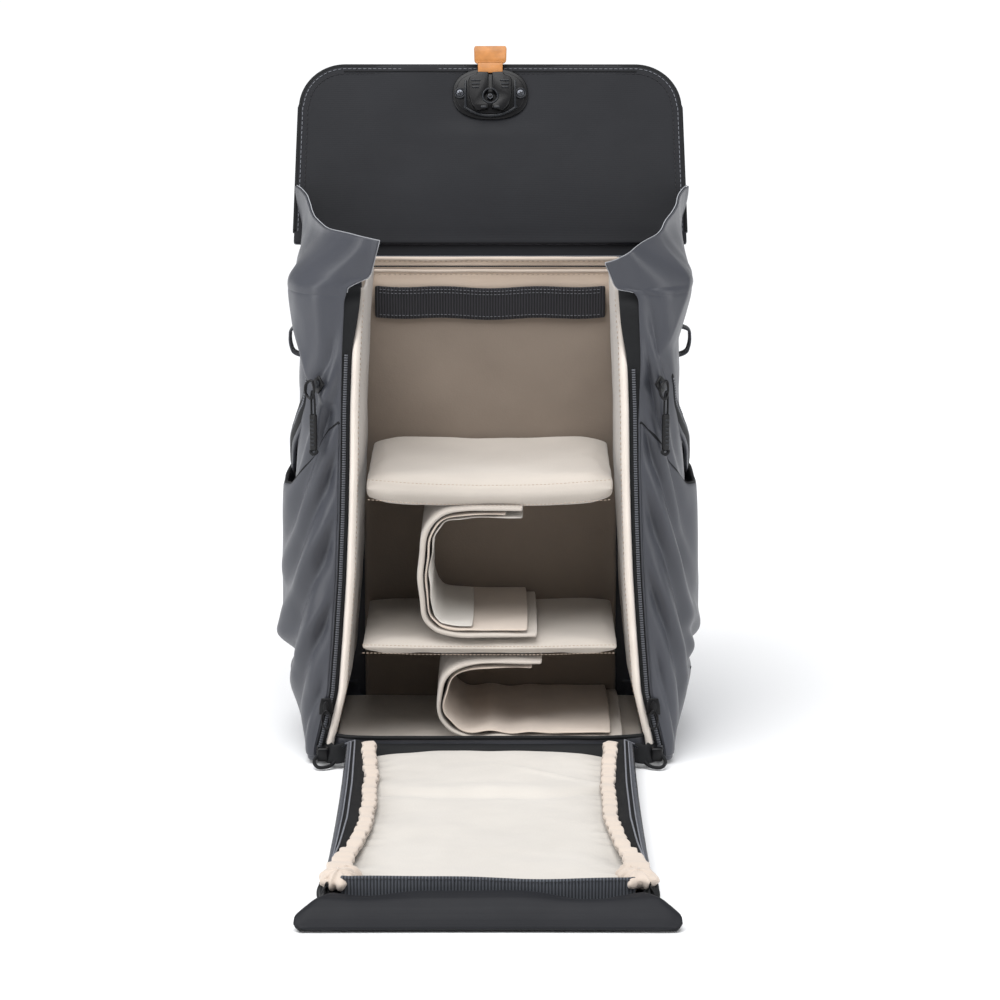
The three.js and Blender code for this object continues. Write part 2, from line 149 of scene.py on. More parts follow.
class Paint:
    """One procedural material, built from nodes on object coordinates in metres."""

    def __init__(self, name, colour, rough, metal=0.0):
        self.mat = bpy.data.materials.new(name)
        self.mat.use_nodes = True
        self.tree = self.mat.node_tree
        self.bsdf = self.tree.nodes["Principled BSDF"]
        self.bsdf.inputs["Base Color"].default_value = colour
        self.bsdf.inputs["Roughness"].default_value = rough
        self.bsdf.inputs["Metallic"].default_value = metal
        self.mat.diffuse_color = colour
        self.colour = colour
        self.coords = self.node("ShaderNodeTexCoord").outputs["Object"]
        self.height = None

    def node(self, kind, **values):
        made = self.tree.nodes.new(kind)
        for key, value in values.items():
            if key.startswith("_"):
                setattr(made, key[1:], value)
            else:
                made.inputs[key].default_value = value
        return made

    def link(self, out, socket):
        self.tree.links.new(out, socket)

    def set(self, **values):
        for key, value in values.items():
            self.bsdf.inputs[key.replace("_", " ")].default_value = value
        return self

    def noise(self, scale, detail=3.0, stretch=(1, 1, 1), rough=0.5):
        mapping = self.node("ShaderNodeMapping")
        mapping.inputs["Scale"].default_value = stretch
        self.link(self.coords, mapping.inputs["Vector"])
        made = self.node("ShaderNodeTexNoise", Scale=scale, Detail=detail, Roughness=rough)
        self.link(mapping.outputs[0], made.inputs["Vector"])
        return made.outputs["Fac"]

    def bands(self, period, direction, distortion=0.0):
        """Stripes of that period in metres along X, Y or Z."""
        made = self.node("ShaderNodeTexWave", _bands_direction=direction, Distortion=distortion)
        made.inputs["Scale"].default_value = 2 * math.pi / (20 * period)
        made.inputs["Detail Scale"].default_value = 60.0
        self.link(self.coords, made.inputs["Vector"])
        return made.outputs["Fac"]

    def cells(self, size, feature="F1"):
        made = self.node("ShaderNodeTexVoronoi", _feature=feature, Scale=1 / size)
        self.link(self.coords, made.inputs["Vector"])
        return made.outputs["Distance"]

    def tint(self, fac, low, high, fac_range=(0.3, 0.7)):
        """Base colour runs from low to high times the paint's colour as fac crosses its range."""
        ramp = self.node("ShaderNodeValToRGB")
        ramp.color_ramp.elements[0].position = fac_range[0]
        ramp.color_ramp.elements[1].position = fac_range[1]
        ramp.color_ramp.elements[0].color = [c * low for c in self.colour[:3]] + [1]
        ramp.color_ramp.elements[1].color = [min(1, c * high) for c in self.colour[:3]] + [1]
        self.link(fac, ramp.inputs["Fac"])
        self.link(ramp.outputs["Color"], self.bsdf.inputs["Base Color"])
        return self

    def shade_along(self, axis, near, far, low, high):
        """Multiplies the base colour by low at near and by high at far along X, Y or Z, in metres."""
        split = self.node("ShaderNodeSeparateXYZ")
        self.link(self.coords, split.inputs[0])
        scale = self.node("ShaderNodeMapRange")
        for key, value in (("From Min", near), ("From Max", far), ("To Min", low), ("To Max", high)):
            scale.inputs[key].default_value = value
        self.link(split.outputs[axis], scale.inputs["Value"])
        product = self.node("ShaderNodeVectorMath", _operation="SCALE")
        self.link(self.bsdf.inputs["Base Color"].links[0].from_socket, product.inputs[0])
        self.link(scale.outputs["Result"], product.inputs["Scale"])
        self.link(product.outputs[0], self.bsdf.inputs["Base Color"])
        return self

    def rough(self, fac, low, high):
        scale = self.node("ShaderNodeMapRange")
        scale.inputs["To Min"].default_value = low
        scale.inputs["To Max"].default_value = high
        self.link(fac, scale.inputs["Value"])
        self.link(scale.outputs["Result"], self.bsdf.inputs["Roughness"])
        return self

    def relief(self, fac, depth, strength=1.0):
        """Adds a bump of that depth in metres on top of any earlier one."""
        made = self.node("ShaderNodeBump", Strength=strength, Distance=depth)
        self.link(fac, made.inputs["Height"])
        if self.height is not None:
            self.link(self.height, made.inputs["Normal"])
        self.height = made.outputs["Normal"]
        self.link(self.height, self.bsdf.inputs["Normal"])
        return self


def weave(paint, pitch, depth):
    """Two crossed sets of fine threads."""
    paint.relief(paint.bands(pitch, "X"), depth, 0.5)
    paint.relief(paint.bands(pitch, "Z"), depth, 0.5)
    paint.relief(paint.bands(pitch, "Y"), depth, 0.4)
    return paint


def coated(name, colour, rough, shine=0.5):
    """Coated outer cloth: a fine weave with faint wrinkles."""
    paint = Paint(name, colour, rough)
    paint.set(Sheen_Weight=0.16 * shine, Sheen_Roughness=0.4, Specular_IOR_Level=shine)
    paint.tint(paint.noise(9, 4), 0.88, 1.12)
    paint.rough(paint.noise(26, 4), rough - 0.08, rough + 0.1)
    weave(paint, 0.8 * MM, 0.05 * MM)
    return paint.relief(paint.noise(60, 3), 0.35 * MM, 0.35).relief(paint.noise(900, 2), 0.05 * MM, 0.4)


def brushed(name, colour, wrinkle=0.5):
    """Soft matt lining."""
    paint = Paint(name, colour, 0.92)
    paint.set(Sheen_Weight=0.35, Sheen_Roughness=0.6, Specular_IOR_Level=0.15)
    paint.tint(paint.noise(14, 5), 0.93, 1.04)
    paint.relief(paint.noise(38, 3), 1.2 * MM, wrinkle)
    return paint.relief(paint.noise(700, 4), 0.25 * MM, 0.6)


def ribbed(name, colour, axis):
    """Woven webbing with its ribs standing across that axis."""
    paint = Paint(name, colour, 0.8)
    paint.set(Sheen_Weight=0.3, Specular_IOR_Level=0.25)
    ribs = paint.bands(2.4 * MM, axis)
    # the ribs' colour follows their height: grooves painted 0.55 times as dark and crests 1.9 times as light,
    # painted shade and highlight on the ribs
    paint.tint(ribs, 0.55, 1.9)
    paint.relief(ribs, 0.6 * MM, 0.8)
    return paint.relief(paint.noise(1400, 2), 0.12 * MM, 0.6)


def spacer_mesh(name, colour):
    """Thick air mesh with small open cells."""
    paint = Paint(name, colour, 0.9)
    paint.set(Sheen_Weight=0.3, Specular_IOR_Level=0.2)
    holes = paint.cells(2.6 * MM)
    # the colour follows the bump: painted shade where the surface sits low, 0.45 times as dark, and painted
    # light where it sits high, 1.5 times as light
    paint.tint(holes, 1.5, 0.45, (0.15, 0.6))
    paint.relief(holes, -0.8 * MM, 0.9)
    return paint.relief(paint.noise(50, 3), 0.8 * MM, 0.4)


def moulded(name, colour, rough=0.32):
    paint = Paint(name, colour, rough)
    paint.set(Coat_Weight=0.03, Coat_Roughness=0.25, Specular_IOR_Level=0.26)
    paint.rough(paint.noise(220, 3), rough - 0.06, rough + 0.1)
    return paint.relief(paint.noise(1500, 3), 0.03 * MM, 0.5)


def tanned(name, colour):
    paint = Paint(name, colour, 0.5)
    paint.set(Specular_IOR_Level=0.4, Coat_Weight=0.08)
    paint.tint(paint.noise(120, 5), 0.78, 1.1)
    paint.relief(paint.cells(0.9 * MM), 0.1 * MM, 0.5)
    return paint.relief(paint.noise(420, 4), 0.15 * MM, 0.5)


def metal(name, colour, rough):
    paint = Paint(name, colour, rough, 1.0)
    paint.rough(paint.noise(300, 3), rough - 0.08, rough + 0.12)
    return paint.relief(paint.noise(900, 2), 0.02 * MM, 0.4)


SHELL_CLOTH = coated("shell_cloth", srgb(58, 60, 67), 0.40)
POCKET_CLOTH = coated("pocket_cloth", srgb(57, 59, 66), 0.40)
FLAP_CLOTH = coated("flap_cloth", srgb(28, 29, 33), 0.55, 0.2)
TAPE_CLOTH = coated("tape_cloth", srgb(20, 21, 23), 0.7, 0.25)
CREAM = brushed("cream_lining", srgb(188, 180, 171))
# these two paint in the shade that the stored goods cast in the photo: on the side pads behind their front
# edge, and on the back wall below its top band
# CREAM_SIDE also paints light: the pads' front edge is made 1.3 times as light, a painted highlight on the
# cream edge
CREAM_SIDE = brushed("cream_side", srgb(204, 195, 186)).shade_along("Y", -0.104, -0.084, 1.3, 0.62)
CREAM_BACK = brushed("cream_back", srgb(158, 144, 131)).shade_along("Z", 0.362, 0.378, 0.80, 2.1)
CREAM_SMOOTH = brushed("cream_panel", srgb(197, 192, 185), 0.3)
CREAM_EDGE = brushed("cream_binding", srgb(200, 186, 173), 0.9)
RIB_X = ribbed("webbing_x", srgb(34, 34, 38), "X")
RIB_FRONT = ribbed("webbing_front", srgb(62, 65, 71), "X")
RIB_Y = ribbed("webbing_y", srgb(40, 41, 45), "Y")
RIB_Z = ribbed("webbing_z", srgb(40, 41, 45), "Z")
AIR_MESH = spacer_mesh("air_mesh", srgb(58, 60, 65))
PLASTIC = moulded("black_plastic", srgb(12, 12, 14), 0.34)
PLASTIC_LIGHT = moulded("grey_plastic", srgb(34, 36, 40), 0.26)
ZIP_TEETH = moulded("zip_teeth", srgb(92, 94, 100), 0.3)
THREAD = Paint("thread", srgb(118, 120, 127), 0.7)
THREAD_DARK = Paint("thread_dark", srgb(30, 30, 34), 0.7)
THREAD_CREAM = Paint("thread_cream", srgb(176, 158, 142), 0.8)
CUT_EDGE = Paint("cut_edge", srgb(168, 170, 175), 0.7)
LEATHER = tanned("tan_leather", srgb(186, 124, 66))
STEEL = metal("dark_steel", srgb(90, 92, 97), 0.3)
for thread in (THREAD, THREAD_DARK, THREAD_CREAM, CUT_EDGE):
    thread.relief(thread.noise(1600, 2), 0.1 * MM, 0.5)
    thread.tint(thread.noise(200, 2), 0.9, 1.1)


# ------------------------------------------------------------------ mesh helpers
def finish_mesh(name, verts, faces, material, body, smooth_faces=True):
    """Makes a mesh object; with a body it rides on it, and without one it stays loose, to be merged or left
    where it is.
    """
    data = bpy.data.meshes.new(name)
    data.from_pydata([tuple(v) for v in verts], [], faces)
    data.update()
    data.validate()
    made = bpy.data.objects.new(name, data)
    bpy.context.scene.collection.objects.link(made)
    if smooth_faces:
        for polygon in data.polygons:
            polygon.use_smooth = True
    data.materials.append(material.mat)
    if body:
        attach(made, body)
    return made


def modified(obj, kind, **values):
    """Adds a modifier and applies it."""
    made = obj.modifiers.new(kind.lower(), kind)
    for key, value in values.items():
        setattr(made, key, value)
    depsgraph = bpy.context.evaluated_depsgraph_get()
    data = bpy.data.meshes.new_from_object(obj.evaluated_get(depsgraph))
    obj.modifiers.clear()
    old = obj.data
    obj.data = data
    bpy.data.meshes.remove(old)
    return obj


def sheet_mesh(name, at, nu, nv, material, body, thick=1.6 * MM, flip=False):
    """A thick cloth surface at(u, v), u and v from 0 to 1; thickness goes to the back of the sheet."""
    grid = [[Vector(at(i / nu, j / nv)) for j in range(nv + 1)] for i in range(nu + 1)]
    normals = []
    for i in range(nu + 1):
        row = []
        for j in range(nv + 1):
            du = grid[min(i + 1, nu)][j] - grid[max(i - 1, 0)][j]
            dv = grid[i][min(j + 1, nv)] - grid[i][max(j - 1, 0)]
            n = du.cross(dv)
            row.append(n.normalized() if n.length > 0 else Vector((0, 0, 1)))
        normals.append(row)
    sign = -1 if flip else 1
    verts = [grid[i][j] for i in range(nu + 1) for j in range(nv + 1)]
    verts += [grid[i][j] - normals[i][j] * thick * sign for i in range(nu + 1) for j in range(nv + 1)]
    count = (nu + 1) * (nv + 1)
    index = lambda i, j, back=0: back * count + i * (nv + 1) + j
    faces = []
    for i in range(nu):
        for j in range(nv):
            front = [index(i, j), index(i + 1, j), index(i + 1, j + 1), index(i, j + 1)]
            rear = [f + count for f in reversed(front)]
            faces += [front, rear] if not flip else [front[::-1], rear[::-1]]
    rim = [(i, 0) for i in range(nu)] + [(nu, j) for j in range(nv)]
    rim += [(i, nv) for i in range(nu, 0, -1)] + [(0, j) for j in range(nv, 0, -1)]
    for k, (i, j) in enumerate(rim):
        i2, j2 = rim[(k + 1) % len(rim)]
        face = [index(i2, j2), index(i, j), index(i, j, 1), index(i2, j2, 1)]
        faces.append(face if not flip else face[::-1])
    return modified(finish_mesh(name, verts, faces, material, body), "SUBSURF", levels=1, render_levels=1)


def resample(points, step, cyclic=False):
    """Points an even step apart along a polyline."""
    pts = [Vector(p) for p in points]
    if cyclic:
        pts.append(pts[0])
    lengths = [0.0]
    for a, b in zip(pts, pts[1:]):
        lengths.append(lengths[-1] + (b - a).length)
    count = max(2, round(lengths[-1] / step))
    out = []
    k = 0
    for n in range(count + (0 if cyclic else 1)):
        s = lengths[-1] * n / count
        while k < len(lengths) - 2 and lengths[k + 1] < s:
            k += 1
        span = lengths[k + 1] - lengths[k]
        out.append(pts[k].lerp(pts[k + 1], 0 if span == 0 else (s - lengths[k]) / span))
    return out


def curve_points(points, count=40, cyclic=False):
    """A smooth Catmull-Rom line through points."""
    p = [Vector(q) for q in points]
    n = len(p)
    spans = n if cyclic else n - 1
    out = []
    for k in range(spans):
        if cyclic:
            a, b, c, d = (p[(k + o) % n] for o in (-1, 0, 1, 2))
        else:
            a, b, c, d = p[max(k - 1, 0)], p[k], p[k + 1], p[min(k + 2, n - 1)]
        steps = max(2, count // spans)
        for s in range(steps):
            out.append(catmull(a, b, c, d, s / steps))
    if not cyclic:
        out.append(p[-1])
    return out


STRAP_POWER = 0.35


def tube_mesh(name, points, radius, material, body, ring=8, cyclic=False, flat=None, up=None):
    """A round cord, or with flat=(half width, half thickness) a strap whose width lies across up."""
    pts = [Vector(p) for p in points]
    n = len(pts)
    verts, faces = [], []
    ups = up if isinstance(up, list) else [up] * n
    reference = None
    for i, p in enumerate(pts):
        before = pts[(i - 1) % n] if cyclic else pts[max(i - 1, 0)]
        after = pts[(i + 1) % n] if cyclic else pts[min(i + 1, n - 1)]
        along = (after - before).normalized()
        if reference is None:
            reference = along.orthogonal()
        out = Vector(ups[i]) if up else reference
        out = (out - along * out.dot(along)).normalized()
        if not up:
            reference = out
        across = along.cross(out)
        for k in range(ring):
            angle = 2 * math.pi * (k + 0.5) / ring
            c, s = math.cos(angle), math.sin(angle)
            if flat:
                half_width = flat[0](i / (n - 1)) if callable(flat[0]) else flat[0]
                c = squared(c, STRAP_POWER) * half_width
                s = squared(s, STRAP_POWER) * flat[1]
                verts.append(p + across * c + out * s)
            else:
                verts.append(p + across * c * radius + out * s * radius)
    loops = n if cyclic else n - 1
    for i in range(loops):
        for k in range(ring):
            a = i * ring + k
            b = i * ring + (k + 1) % ring
            c = ((i + 1) % n) * ring + (k + 1) % ring
            d = ((i + 1) % n) * ring + k
            faces.append((a, b, c, d))
    if not cyclic:
        faces.append(tuple(reversed(range(ring))))
        faces.append(tuple((n - 1) * ring + k for k in range(ring)))
    return finish_mesh(name, verts, faces, material, body)


def lofted(name, verts, ring, material, body):
    """A closed solid through rings of that many points each, laid one after another."""
    rows = len(verts) // ring - 1
    faces = []
    for i in range(rows):
        for k in range(ring):
            a, b = i * ring + k, i * ring + (k + 1) % ring
            faces.append((a, b, b + ring, a + ring))
    faces.append(tuple(reversed(range(ring))))
    faces.append(tuple(rows * ring + k for k in range(ring)))
    return finish_mesh(name, verts, faces, material, body)


def merged(name, objects, body):
    """Joins small meshes into one piece."""
    verts, faces, slots, materials = [], [], [], []
    for obj in objects:
        base = len(verts)
        verts += [obj.matrix_world @ v.co for v in obj.data.vertices]
        for material in obj.data.materials:
            if material not in materials:
                materials.append(material)
        for polygon in obj.data.polygons:
            faces.append([base + i for i in polygon.vertices])
            slots.append(materials.index(obj.data.materials[polygon.material_index]))
        bpy.data.objects.remove(obj)
    data = bpy.data.meshes.new(name)
    data.from_pydata(verts, [], faces)
    for material in materials:
        data.materials.append(material)
    for polygon, slot in zip(data.polygons, slots):
        polygon.material_index = slot
        polygon.use_smooth = True
    made = bpy.data.objects.new(name, data)
    bpy.context.scene.collection.objects.link(made)
    if body:
        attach(made, body)
    return made


THREAD_STEP = 1.1 * MM


def stitches(name, points, material, body, pitch=4.4 * MM, length=3.0 * MM, radius=0.42 * MM):
    """A line of thread dashes lying on a surface."""
    line = resample(points, THREAD_STEP)
    verts, faces = [], []
    per = max(1, round(pitch / THREAD_STEP))
    span = max(1, round(length / THREAD_STEP))
    for start in range(0, len(line) - span, per):
        a, b = line[start], line[start + span]
        along = (b - a).normalized()
        side = along.orthogonal().normalized()
        up = along.cross(side)
        base = len(verts)
        for p, r in ((a, 0.5), (a.lerp(b, 0.25), 1), (a.lerp(b, 0.75), 1), (b, 0.5)):
            for k in range(5):
                t = 2 * math.pi * k / 5
                verts.append(p + (side * math.cos(t) + up * math.sin(t)) * radius * r)
        for ring in range(3):
            for k in range(5):
                k2 = (k + 1) % 5
                q = base + ring * 5
                faces.append((q + k, q + k2, q + 5 + k2, q + 5 + k))
        faces.append(tuple(base + k for k in reversed(range(5))))
        faces.append(tuple(base + 15 + k for k in range(5)))
    return finish_mesh(name, verts, faces, material, body)


def zip_teeth(name, points, out, material, body, pitch=2.1 * MM, half=1.5 * MM, high=0.9 * MM):
    """A coil zip's teeth: small raised bars across the chain, standing in the direction out."""
    line = resample(points, pitch)
    out = Vector(out).normalized()
    verts, faces = [], []
    for i, p in enumerate(line):
        along = direction_at(line, i)
        across = along.cross(out).normalized()
        base = len(verts)
        for w in (-1, 0, 1):
            lift = high if w == 0 else high * 0.45
            for d, h in ((-0.32, 0), (-0.24, lift), (0.24, lift), (0.32, 0)):
                verts.append(p + across * w * half + along * d * pitch + out * h)
        for r in range(2):
            q = base + 4 * r
            for k in range(3):
                faces.append((q + k, q + k + 1, q + 5 + k, q + 4 + k))
        faces.append((base + 3, base + 2, base + 1, base))
        faces.append((base + 8, base + 9, base + 10, base + 11))
    return finish_mesh(name, verts, faces, material, body, smooth_faces=False)


def cord_loop(name, path, place, count, radius, material, ring):
    """A closed cord through points given in millimetres on place's plane."""
    line = curve_points([place(a * MM, b * MM, h * MM) for a, b, h in path], count, True)
    return tube_mesh(name, line, radius, material, None, ring, cyclic=True)


def rounded_box(name, lo, hi, radius, material, body):
    verts = [Vector((x, y, z)) for x in (lo.x, hi.x) for y in (lo.y, hi.y) for z in (lo.z, hi.z)]
    faces = [(0, 1, 3, 2), (4, 6, 7, 5), (0, 4, 5, 1), (2, 3, 7, 6), (0, 2, 6, 4), (1, 5, 7, 3)]
    made = finish_mesh(name, verts, faces, material, body)
    return modified(made, "BEVEL", width=radius, segments=3, limit_method="NONE")


def prism(name, outline, place, low, high, material, body, bevel=0.8 * MM, segments=2):
    """A flat outline of (a, b) pairs raised from low to high, placed by place(a, b, height)."""
    n = len(outline)
    verts = [place(a, b, low) for a, b in outline] + [place(a, b, high) for a, b in outline]
    faces = [tuple(reversed(range(n))), tuple(range(n, 2 * n))]
    faces += [(i, (i + 1) % n, n + (i + 1) % n, n + i) for i in range(n)]
    made = finish_mesh(name, verts, faces, material, body, smooth_faces=False)
    if bevel:
        modified(made, "BEVEL", width=bevel, segments=segments, limit_method="ANGLE", angle_limit=0.6)
    return made


def oval(a, b, count=40, power=2.0):
    """An oval's outline; a power above 2 squares it off."""
    angles = [2 * math.pi * k / count for k in range(count)]
    return [(squared(math.cos(t), 2 / power) * a, squared(math.sin(t), 2 / power) * b) for t in angles]


def circle(place, radius, height, count, rise=0.0):
    """Points round a circle at that height over place's plane, its centre moved up by rise."""
    angles = np.linspace(0, 2 * math.pi, count)[:-1]
    return [place(radius * math.cos(t), radius * math.sin(t) + rise, height) for t in angles]


def round_rect(x0, x1, z0, z1, r, per=5):
    out = []
    corners = ((x1 - r, z0 + r, -90), (x1 - r, z1 - r, 0), (x0 + r, z1 - r, 90), (x0 + r, z0 + r, 180))
    for cx, cz, start in corners:
        for k in range(per + 1):
            t = math.radians(start + 90 * k / per)
            out.append((cx + r * math.cos(t), cz + r * math.sin(t)))
    return out


CLOTH_FRAMES = 20


def puffed(obj, pressure, cap, voxel):
    """Cloth under pressure swells a closed pad, no point by more than the cap.
    """
    modified(obj, "REMESH", mode="VOXEL", voxel_size=voxel)
    rest = [v.co.copy() for v in obj.data.vertices]
    cloth = obj.modifiers.new("cloth", "CLOTH")
    cloth.settings.use_pressure = True
    cloth.settings.uniform_pressure_force = pressure
    cloth.settings.effector_weights.gravity = 0
    cloth.settings.quality = 4
    scene = bpy.context.scene
    for number in range(1, CLOTH_FRAMES + 1):
        scene.frame_set(number)
    depsgraph = bpy.context.evaluated_depsgraph_get()
    moved = [v.co.copy() for v in obj.evaluated_get(depsgraph).data.vertices]
    obj.modifiers.clear()
    scene.frame_set(1)
    for vertex, start, end in zip(obj.data.vertices, rest, moved):
        step = end - start
        if step.length > cap:
            step = step.normalized() * cap
        vertex.co = start + step
    for polygon in obj.data.polygons:
        polygon.use_smooth = True
    return modified(obj, "SUBSURF", levels=1, render_levels=1)


# ------------------------------------------------------------------ camera, light and floor
CAMERA_PITCH = math.radians(12)
CAMERA_AWAY = 2.53
FLOOR_HALF = 60


def make_studio():
    make_camera()
    make_floor()
    make_lights()


def make_camera():
    """A long lens in front of the pack, looking slightly down on it."""
    data = bpy.data.cameras.new("camera")
    data.sensor_width = 36
    data.lens = 111
    camera = bpy.data.objects.new("camera", data)
    bpy.context.scene.collection.objects.link(camera)
    bpy.context.scene.camera = camera
    target = Vector((8.5 * MM, FRONT_Y, 225.5 * MM))
    back = Vector((0, -math.cos(CAMERA_PITCH), math.sin(CAMERA_PITCH)))
    camera.location = target + back * CAMERA_AWAY
    aim(camera, -back)


def make_floor():
    floor_data = bpy.data.meshes.new("floor")
    turns = ((-1, -1), (1, -1), (1, 1), (-1, 1))
    corners = [(x * FLOOR_HALF, y * FLOOR_HALF, 0) for x, y in turns]
    floor_data.from_pydata(corners, [], [(0, 1, 2, 3)])
    floor = bpy.data.objects.new("floor", floor_data)
    bpy.context.scene.collection.objects.link(floor)
    floor.location.z = -0.4 * MM
    pale = Paint("floor_pale", (0.93, 0.935, 0.945, 1), 0.7)
    pale.tint(pale.noise(1.5, 2), 0.995, 1.005)
    floor_data.materials.append(pale.mat)


def make_lights():
    """A soft sun from above, leaning in from the camera's side, and one panel at each side."""
    world = bpy.data.worlds.new("studio")
    world.use_nodes = True
    world.node_tree.nodes["Background"].inputs[0].default_value = (0.97, 0.98, 1.0, 1)
    world.node_tree.nodes["Background"].inputs[1].default_value = 0.36
    bpy.context.scene.world = world
    bpy.context.scene.view_settings.view_transform = "Standard"

    sky = add_light("sky", "SUN", (0, 0, 3), Vector((0.14, 0.34, -1.0)), 2.9)
    sky.data.angle = math.radians(50)
    key = add_light("key", "AREA", (-1.6, -0.9, 0.9), Vector((1.6, 0.7, -0.5)), 14)
    fill = add_light("fill", "AREA", (1.6, -0.9, 0.9), Vector((-1.6, 0.7, -0.5)), 11)
    for light in (key, fill):
        light.data.shape = "RECTANGLE"
        light.data.size = 0.5
        light.data.size_y = 1.4


def aim(obj, direction):
    obj.rotation_mode = "QUATERNION"
    obj.rotation_quaternion = Vector(direction).to_track_quat("-Z", "Y")


def add_light(name, kind, place, direction, power):
    light = bpy.data.lights.new(name, kind)
    light.energy = power
    made = bpy.data.objects.new(name, light)
    bpy.context.scene.collection.objects.link(made)
    made.location = place
    aim(made, direction)
    return made


# ------------------------------------------------------------------ side walls
FOOT_Z = BASE[0].z + 3 * MM
SPLIT_Z = RIM_Z - 6 * MM

# the collar's top edge from the front lappet round to the flap: share of the way, then height
RIM_HEIGHT = {
    "left": table([(0, 439.5 * MM), (0.17, 442.5 * MM), (0.33, 444 * MM), (0.5, 443.5 * MM),
                   (0.67, 448.5 * MM), (0.83, 458.5 * MM), (1, 463 * MM)]),
    "right": table([(0, 420.5 * MM), (0.17, 431 * MM), (0.33, 436 * MM), (0.5, 439.5 * MM),
                    (0.67, 451.5 * MM), (0.83, 459.5 * MM), (1, 463 * MM)]),
}
# where the same edge stands in plan, as distances from the middle and depths in millimetres
RIM_PLAN = {
    "left": ((88, -104.5), (103, -99), (118, -80), (137, -42), (150, 15), (156, 58), (168, 97)),
    "right": ((93, -104.5), (109, -99), (122, -80), (141, -42), (155, 15), (162, 58), (171, 97)),
}
# the front edge of the lappet over the zip's top: height, then distance from the middle
LAPPET = {
    "left": table([(RIM_Z - 6 * MM, 116 * MM), (RIM_Z + 1 * MM, 114.5 * MM), (RIM_Z + 5 * MM, 107 * MM),
                   (RIM_Z + 9 * MM, 98 * MM), (RIM_Z + 13 * MM, 95.5 * MM), (RIM_Z + 42 * MM, 88 * MM)]),
    "right": table([(RIM_Z - 6 * MM, 119 * MM), (RIM_Z - 2.5 * MM, 116 * MM), (RIM_Z - 0.5 * MM, 104 * MM),
                    (RIM_Z + 3 * MM, 101 * MM), (RIM_Z + 21 * MM, 93.5 * MM)]),
}
# how far the cloth's front edge stands outside the zip, by height
EDGE_OUT = {
    "left": table([(290 * MM, 0), (390 * MM, 1.5 * MM)]),
    "right": table([(290 * MM, 0), (340 * MM, 3.5 * MM), (390 * MM, 4.5 * MM)]),
}
# how wide the upper side really stands, by height; lower down it follows the frame
UPPER_X = {
    "left": table([(326 * MM, 157 * MM), (348 * MM, 156 * MM), (372 * MM, 159 * MM),
                   (386 * MM, 161.5 * MM), (404 * MM, 163.5 * MM), (430 * MM, 165 * MM)]),
    "right": table([(326 * MM, 157 * MM), (350 * MM, 155.5 * MM), (370 * MM, 161 * MM),
                    (387 * MM, 165 * MM), (404 * MM, 167 * MM), (430 * MM, 167 * MM)]),
}


def width_at(side, z):
    upper = smooth(300 * MM, 332 * MM, z)
    return side_x(min(z, RIM_Z)) * (1 - upper) + UPPER_X[label_of(side)](z) * upper


def rim_height(side, t):
    """The collar's top at share t, rounded off between the table's points."""
    top = RIM_HEIGHT[label_of(side)]
    return sum(top(t + step) for step in (-0.06, -0.03, 0, 0.03, 0.06)) / 5


def label_of(side):
    return "left" if side < 0 else "right"


def front_edge(side, z):
    """Where the side cloth ends at the front: at the zip, then out along the collar's lappet."""
    if z <= RIM_Z - 8 * MM:
        return zip_x(z) + 1 * MM + EDGE_OUT[label_of(side)](z)
    return LAPPET[label_of(side)](z)


def side_section(side, z):
    """Points round the right-hand wall at one height: zip edge, front corner, side, back corner."""
    zx = front_edge(side, z)
    sx = width_at(side, z)
    collar = smooth(RIM_Z - 2 * MM, RIM_Z + 44 * MM, z)
    rise = smooth(RIM_Z - 10 * MM, RIM_Z + 62 * MM, z)
    wall = (
        (zx, FRONT_Y - 0.5 * MM),
        (zx + 0.55 * (sx - zx), FRONT_Y + 6 * MM),
        (sx - 4 * MM, FRONT_Y + 30 * MM),
        (sx, FRONT_Y + 70 * MM),
        (sx, 20 * MM),
        (sx - 3 * MM, 55 * MM),
        (152 * MM, BACK_Y - 1 * MM),
    )
    points = []
    for k, ((x, y), (rx, ry)) in enumerate(zip(wall, RIM_PLAN[label_of(side)])):
        share = collar if k < 5 else rise
        if k == 0:
            points.append((zx, y + (ry * MM - y) * share, z))
        else:
            points.append((x + (rx * MM - x) * share, y + (ry * MM - y) * share, z))
    return points


def along_section(points, t):
    """Catmull-Rom through the section's points at share t of its knots."""
    n = len(points) - 1
    k = min(int(t * n), n - 1)
    f = t * n - k
    a, b, c, d = (Vector(points[min(max(k + o, 0), n)]) for o in (-1, 0, 1, 2))
    if k == 0:
        a = 2 * b - c
    if k == n - 1:
        d = 2 * c - b
    return catmull(a, b, c, d, f)


# a rough length for the whole wall, in metres, so that a share t can be measured against a height
WALL_RUN = 0.3


def crease(t, z, t0, z0, t1, z1, width, depth):
    """A fold along a straight line in the wall's own t and height; depth below 0 cuts in."""
    ax, az = t0 * WALL_RUN, z0
    bx, bz = t1 * WALL_RUN, z1
    px, pz = t * WALL_RUN, z
    dx, dz = bx - ax, bz - az
    share = ((px - ax) * dx + (pz - az) * dz) / (dx * dx + dz * dz)
    inside = smooth(-0.25, 0.15, share) * (1 - smooth(0.85, 1.25, share))
    off = ((px - ax) * dz - (pz - az) * dx) / math.hypot(dx, dz)
    return depth * inside * math.exp(-abs(off / width) ** 2)


